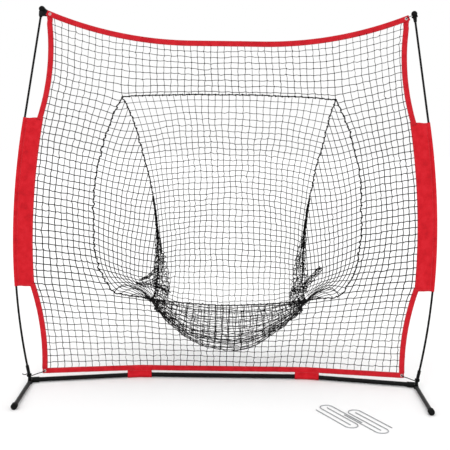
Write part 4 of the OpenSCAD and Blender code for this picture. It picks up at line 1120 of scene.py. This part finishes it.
def borderPiece(name, node, stations, seed):  # a station: middle, direction toward the net and to the front
    chance = np.random.default_rng(seed)
    half, deep, crown = webbing["width"] / 2, edge["thick"] / 2, edge["thick"] / 2 + webbing["crown"]
    front = [(-half, 0.3 * deep), (webbing["bevel"] - half, deep), (-half / 2, crown), (0.0, deep + 0.2),
             (half / 2, crown), (half - webbing["bevel"], deep), (half, 0.3 * deep)]
    section = [(-half, -0.3 * deep)] + front + [(a, -b) for a, b in front[:0:-1]]
    points, wave = [], 0.0
    for middle, across, outward in stations:
        wave = 0.6 * wave + chance.normal(0, webbing["pucker"])
        for a, b in section:
            points.append(middle + across * a + outward * (b + wave * (0.4 + 0.6 * abs(a) / half)))
    middles = [middle for middle, _, _ in stations]
    run = runAlong(middles)
    inward = np.dot(np.cross(stations[0][1], stations[0][2]), middles[1] - middles[0]) < 0
    faces, clothMap = gridFaces(len(stations), len(section), runAlong(section + section[:1]), run,
                                ringed=True, turned=inward)
    piece = fasten(meshPiece(name, points, faces, clothMap, "redWebbing"), "red_webbing", node)
    rise, inset = deep + webbing["crown"] * 0.8 + webbing["proud"], half - webbing["stitchIn"]
    rows = [[m + a * offset + f * height for m, a, f in stations]
            for offset in (-inset, inset) for height in (rise, -rise)]
    stitches(name + "Stitches", rows, "redThread", "red_webbing", webbing["stitchPitch"])


def poleStation(x, v, acrossX, acrossV, side=1):
    front = onPoles(0, 0, 1) - onPoles(0, 0, 0)
    return onPoles(x, v, 0, side), onPoles(acrossX, acrossV, 0, side) - onPoles(0, 0, 0, side), front


def topStations():
    r = edge["topRadius"] + edge["width"] / 2
    turn = math.asin((edge["topCorner"] - edge["topFlat"]) / r)
    turns = np.linspace(-turn, turn, 2 * int(r * turn / webbing["step"]) + 1)
    bent = [poleStation(math.copysign(edge["topFlat"], a) + r * math.sin(a), topMiddleV - r * math.cos(a),
                        math.sin(a), -math.cos(a)) for a in turns]
    flat = [poleStation(x, edge["topMid"] - edge["width"] / 2, 0, -1)
            for x in np.linspace(-edge["topFlat"], edge["topFlat"], 45)[1:-1]]
    middle = len(bent) // 2
    return bent[:middle] + flat + bent[middle + 1:]


def sideStations(part, side):  # from the bottom up, along the arc of an upper or lower border
    radius, centreV = edge[part + "Radius"], edge[part + "V"]

    def arcX(v):
        return edge[part + "Waist"] + radius - math.sqrt(radius ** 2 - (v - centreV) ** 2)

    if part == "upper":  # up behind the top border, and sewn over the panel's end
        low, high = edge["panelHigh"] - webbing["overlap"], centreV
        while leanZ(high) - webbing["overlap"] < underTop(arcX(high)):
            high += 1.0
        top = high
    else:
        low, high, top = leanV(cornerZ + webbing["foot"]), edge["panelLow"] + webbing["overlap"], math.inf
    stations = []
    for v in np.linspace(low, high, int((high - low) / webbing["step"]) + 2):
        out = math.sqrt(radius ** 2 - (v - centreV) ** 2)
        middle, across, front = poleStation(arcX(v), v, -out / radius, (v - centreV) / radius, side)
        behind = webbing["tuck"] * smooth((v - top) / webbing["tuckRun"] + 2)
        stations.append((middle - front * behind + across * webbing["aside"] * behind, across, front))
    return stations


def bottomStations():
    reach = cornerX + edge["width"] - 1
    return [(np.array([x, bottomY(x), bottomMiddle(x)]), np.array([0.0, 0.0, 1.0]),
             unit(np.array([(bottomY(x + 1) - bottomY(x - 1)) / 2, -1.0, 0.0])))
            for x in np.linspace(-reach, reach, int(2 * reach / webbing["step"]))]


borderPiece("topBorder", "border_top", topStations(), 71)
for side, word in bothSides:
    for part in ("upper", "lower"):
        node = f"border_{part}_{word.lower()}"
        borderPiece(f"{part}Border{word}", node, sideStations(part, side), 73 + side)
borderPiece("bottomBorder", "border_bottom", bottomStations(), 79)
print("borders sewn")


# ---- pieces of pack cloth ----
def clothPiece(name, node, section, rows, step, layer, place, turned):
    # place puts a point of the section into the row that lies a share along the piece
    points = [place(i / (rows - 1), k, a, b) for i in range(rows) for k, (a, b) in enumerate(section)]
    reach = runAlong(section)
    faces, clothMap = gridFaces(rows, len(section), reach, step * np.arange(rows), turned=turned)
    piece = fasten(meshPiece(name, points, faces, clothMap, "cloth"), "red_pack_cloth", node)
    wall = piece.modifiers.new("cloth", "SOLIDIFY")
    wall.thickness, wall.offset = layer * 0.001, 0.0
    return piece, reach[-1] * 0.001


# ---- panels with the channels in which the rods run ----
sleevePanel = {"channel": 8.9, "layer": 0.8, "gap": 0.9, "step": 9.0, "wrinkle": 2.2, "hem": 9.0, "seam": 6.0,
               "opening": 163, "proud": 0.35, "stitchPitch": 5.0}


def panelPoint(v, a, w, side):  # square to the rod in the channel, level across the flap, with shallow folds
    x, turn = rodAxis(v)
    level = smooth((-a - sleevePanel["channel"] - 3) / 40)
    folds = math.sin(v / 61 + a / 33 * side + side) + 0.6 * math.sin(v / 27 - a / 21 + 2 * side)
    folds += 0.35 * math.sin(v / 13 + a / 40)
    w += sleevePanel["wrinkle"] * math.sin(math.pi * held01((-a - 12) / 92)) * folds
    x += a * mix(math.cos(turn), 1 / math.cos(turn), level)
    return onPoles(x, v + a * math.sin(turn) * (1 - level), w, side)


def makePanel(side, word):
    p, low, high, width = sleevePanel, edge["panelLow"], edge["panelHigh"], edge["panelW"]
    turns = np.radians(np.linspace(p["opening"], -p["opening"], 19))
    ring = [(p["channel"] * math.cos(t), p["channel"] * math.sin(t)) for t in turns]
    flap = np.linspace(-width, -p["channel"] - 4, 13)
    section = [(a, p["gap"] / 2) for a in flap] + ring + [(a, -p["gap"] / 2) for a in flap[::-1]]

    def place(t, k, a, w):
        return panelPoint(mix(low, high, t), a, w, side)

    piece, flat = clothPiece("sleevePanel" + word, "sleeve_panel_" + word.lower(), section,
                             int((high - low) / p["step"]) + 1, p["step"], p["layer"], place, side < 0)
    rows = []
    out = p["gap"] / 2 + p["layer"] / 2 + p["proud"]
    for w in (out, -out):
        for a in (-p["channel"] - p["seam"], p["seam"] - width):
            rows.append([panelPoint(v, a, w, side) for v in np.linspace(low + 2, high - 2, 100)])
        for v in (low + p["hem"], high - p["hem"]):
            rows.append([panelPoint(v, a, w, side) for a in np.linspace(2 - width, -p["channel"] - 5, 14)])
    stitches("panelStitches" + word, rows, "redThread", "red_pack_cloth", p["stitchPitch"])


for side, word in bothSides:
    makePanel(side, word)
print("panels sewn")

# ---- wraps that tie the bottom border to the base tube at its bends ----
baseWrap = {"length": 140, "bore": 14.4, "layer": 1.8, "top": 69.5, "step": 6.0, "gap": 2.6, "crush": 0.7,
            "floor": 1.1, "crushLow": 4, "crushHigh": 45, "seams": (64.5, 42.0), "seamIn": 3, "proud": 0.4,
            "stitchPitch": 5.0}


def wrapPoint(d, y, z, side):  # d along the bent tube from its bend, y across, z up
    turn = armTurn * smooth((d + 10) / 20)
    x = base["bend"] + min(d, 0.0) + max(d, 0.0) * math.cos(armTurn) + y * math.sin(turn)
    return np.array([side * x, y * math.cos(turn) - max(d, 0.0) * math.sin(armTurn), z])


def makeWrap(side, word):
    p, axis = baseWrap, base["axis"]
    start = math.asin(p["gap"] / p["bore"])
    turns = np.linspace(start, 2 * math.pi - start, 30)
    ring = [(-p["bore"] * math.sin(t), axis + p["bore"] * math.cos(t)) for t in turns]
    rises = np.linspace(0, 1, 7)
    section = [(mix(-p["gap"], ring[0][0], f), mix(p["top"], ring[0][1], f)) for f in rises[:-1]] + ring
    section += [(mix(ring[-1][0], p["gap"], f), mix(ring[-1][1], p["top"], f)) for f in rises[1:]]
    section = [(y, max(z, p["floor"])) for y, z in section]

    def place(t, k, y, z):
        d = mix(-p["length"] / 2, p["length"] / 2, t)
        grow = 1 + p["crush"] * math.sin(d / 9 + k / 2.5 + side) * (z > p["crushLow"]) / p["bore"]
        return wrapPoint(d, y * grow, axis + (z - axis) * (grow if z < p["crushHigh"] else 1), side)

    piece, flat = clothPiece("baseWrap" + word, "base_wrap_" + word.lower(), section,
                             int(p["length"] / p["step"]) + 1, p["step"], p["layer"], place, side > 0)
    out, reach = p["gap"] + p["layer"] / 2 + p["proud"], p["length"] / 2 - p["seamIn"]
    seams = list(zip(p["seams"], (out, mix(out, p["bore"], 0.2))))
    along = np.linspace(-reach, reach, 24)
    rows = [[wrapPoint(d, face * wide, z, side) for d in along] for face in (-1, 1) for z, wide in seams]
    stitches("wrapStitches" + word, rows, "redThread", "red_pack_cloth", p["stitchPitch"])


for side, word in bothSides:
    makeWrap(side, word)
print("wraps sewn")

# ---- webbing tab between the top left corner and its ball ----
cornerTab = {"thick": 2.0, "front": -4.2, "ringHigh": -14.0, "ringLow": -40.0, "wall": 1.7, "room": 0.5,
             "length": 22, "width": 9, "round": 36, "stitchPitch": 5.0}


def ballPoint(a, h, w):  # seen from the left ball: across the pole, up it, and to the front
    return onPoles(ballMiddle[0] + a * tipCos - h * tipSin, ballMiddle[1] + a * tipSin + h * tipCos, w, -1)


def neckAt(h):  # radius of the ball's neck, h above the ball's middle
    foot, top = rod["neckD"] / 2, rod["ballD"] / 2 - rod["flareIn"]
    return foot + (top - foot) * (h + rod["neckFoot"]) / rod["flare"]


def makeTab():
    p = cornerTab
    a, b = grommetTop() - ballMiddle
    hole = (a * tipCos + b * tipSin, b * tipCos - a * tipSin)
    start = rod["ballD"] / 2 + 0.6
    upper = finePath([(-start * 0.66, start * 0.75, 0), (-22, 4, 0), (hole[0] - 8, hole[1] + 10, 0)], 3.0)
    lower = finePath([(-neckAt(-38) - 1.2, -38.5, 0), (-28, -37, 0), (hole[0] - 4, hole[1] - 12, 0)], 3.0)
    count, rows = p["length"], p["width"]
    points, faces, clothMap = [], [], []
    for layer in (1, -1):
        for f in np.linspace(0, 1, count):
            top, bottom = (line[int(f * (len(line) - 1))] for line in (upper, lower))
            for g in np.linspace(0, 1, rows):
                q = mix(top, bottom, g)
                deep = layer * p["thick"] / 2 * (0.5 if g in (0, 1) else 1)
                bend = 1.2 * math.sin(3 * f) * (g - 0.5)
                points.append(ballPoint(q[0], q[1], p["front"] + deep + bend))
    size = count * rows
    reach, run = 3.0 * np.arange(rows), 3.0 * np.arange(count)
    sheets = [gridFaces(count, rows, reach, run, turned=first > 0, first=first) for first in (0, size)]
    rim = [i * rows for i in range(count)] + [(count - 1) * rows + k for k in range(1, rows)]
    rim += [i * rows + rows - 1 for i in range(count - 2, -1, -1)] + list(range(rows - 2, 0, -1))
    for k, (a, b) in enumerate(zip(rim, rim[1:] + rim[:1])):
        faces.append((a, b, b + size, a + size))
        clothMap += [(0, k * 3.0), (0, k * 3.0 + 3), (2, k * 3.0 + 3), (2, k * 3.0)]
    # the ring sewn round the ball's neck
    section = [(neckAt(h) + p["room"] + p["wall"], h) for h in np.linspace(p["ringLow"], p["ringHigh"], 5)]
    section += [(neckAt(h) + p["room"], h) for h in np.linspace(p["ringHigh"], p["ringLow"], 3)]
    reach, run = 6.0 * np.arange(len(section) + 1), 2.0 * np.arange(p["round"] + 1)
    sheets.append(gridFaces(p["round"], len(section), reach, run,
                            ringed=True, looped=True, first=len(points)))
    for t in np.linspace(0, 2 * math.pi, p["round"] + 1)[:-1]:
        points += [ballPoint(r * math.cos(t), h, r * math.sin(t)) for r, h in section]
    for sheetFaces, sheetMap in sheets:
        faces += sheetFaces
        clothMap += sheetMap
    piece = meshPiece("cornerTab", points, faces, clothMap, "blackWebbing")
    shape = bmesh.new()
    shape.from_mesh(piece.data)
    bmesh.ops.recalc_face_normals(shape, faces=shape.faces)
    shape.to_mesh(piece.data)
    shape.free()
    fasten(piece, "black_webbing", "corner_tab_top_left")
    proud = p["front"] + p["thick"] / 2 + 0.5
    pairs = list(zip(upper, lower))[1:-1]
    rows = [[ballPoint(*mix(a, b, g)[:2], proud) for a, b in pairs] for g in (0.12, 0.88)]
    stitches("tabStitches", rows, "blackThread", "black_webbing", p["stitchPitch"])


makeTab()
print("corner tab sewn")

# ---- finishes on the pieces kept from the frame ----
keptFinishes = {
    "steel": ("base_center_tube", "base_arm_", "hub_", "leg_", "pivot_"),
    "zinc": ("base_elbow_", "pole_ferrules_", "corner_grommets"),
    "rod": ("pole_lower_", "pole_middle_", "pole_upper_"),
    "rubber": ("foot_cap_", "pole_ball_"),
    "wire": ("ground_peg_",),
}
for name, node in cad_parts.items():
    for finish, starts in keptFinishes.items():
        if name.startswith(starts):
            for place in node.material_slots:
                place.material = finishes[finish]
print("frame finished")

# ---- floor and soft lamps ----
studio = {
    "floor": 30.0,
    "floorTone": "#f6f6f6",
    "world": 0.93,
    # name, strength, size in degrees, turn from the front and height in degrees
    "lamps": (("keyLamp", 0.65, 40.0, -34.0, 48.0), ("fillLamp", 0.32, 50.0, 38.0, 34.0),
              ("backLamp", 0.3, 44.0, 165.0, 50.0)),
}


def makeStudio(settings):
    size = settings["floor"]
    mesh = bpy.data.meshes.new("floor")
    corners = [(x * size, y * size, 0) for x, y in ((-1, -1), (1, -1), (1, 1), (-1, 1))]
    mesh.from_pydata(corners, [], [(0, 1, 2, 3)])
    floor = linked("studioFloor", mesh)
    material, add = startMaterial("matt studio paper")
    paper = add("ShaderNodeBsdfDiffuse", {"Color": hexColour(settings["floorTone"])})[0]
    add("ShaderNodeOutputMaterial", {"Surface": paper})
    mesh.materials.append(material)
    scene.world = bpy.data.worlds.new("studioWorld")
    scene.world.use_nodes = True
    scene.world.node_tree.nodes.clear()
    add = partial(addNode, scene.world.node_tree)
    rays = add("ShaderNodeLightPath")
    shown = rays["Is Camera Ray"]  # what is seen of the room, also in a gloss, is plain white
    for ray in ("Is Glossy Ray", "Is Transmission Ray"):
        shown = add("ShaderNodeMath", {0: shown, 1: rays[ray]}, operation="MAXIMUM")[0]
    white = (1, 1, 1, 1)
    light = add("ShaderNodeBackground", {"Color": white, "Strength": settings["world"]})[0]
    seen = add("ShaderNodeBackground", {"Color": white, "Strength": 1.0})[0]
    pick = add("ShaderNodeMixShader", {0: shown, 1: light, 2: seen})[0]
    add("ShaderNodeOutputWorld", {"Surface": pick})
    for name, power, width, turn, height in settings["lamps"]:
        data = bpy.data.lights.new(name, "SUN")
        data.energy, data.angle = power, math.radians(width)
        (turnSin, turnCos), (riseSin, riseCos) = sinCos(turn), sinCos(height)
        toward = Vector((turnSin * riseCos, -turnCos * riseCos, riseSin))
        linked(name, data).rotation_euler = (-toward).to_track_quat("-Z", "Y").to_euler()
    scene.view_settings.view_transform = "Standard"


makeStudio(studio)
print("studio lit")
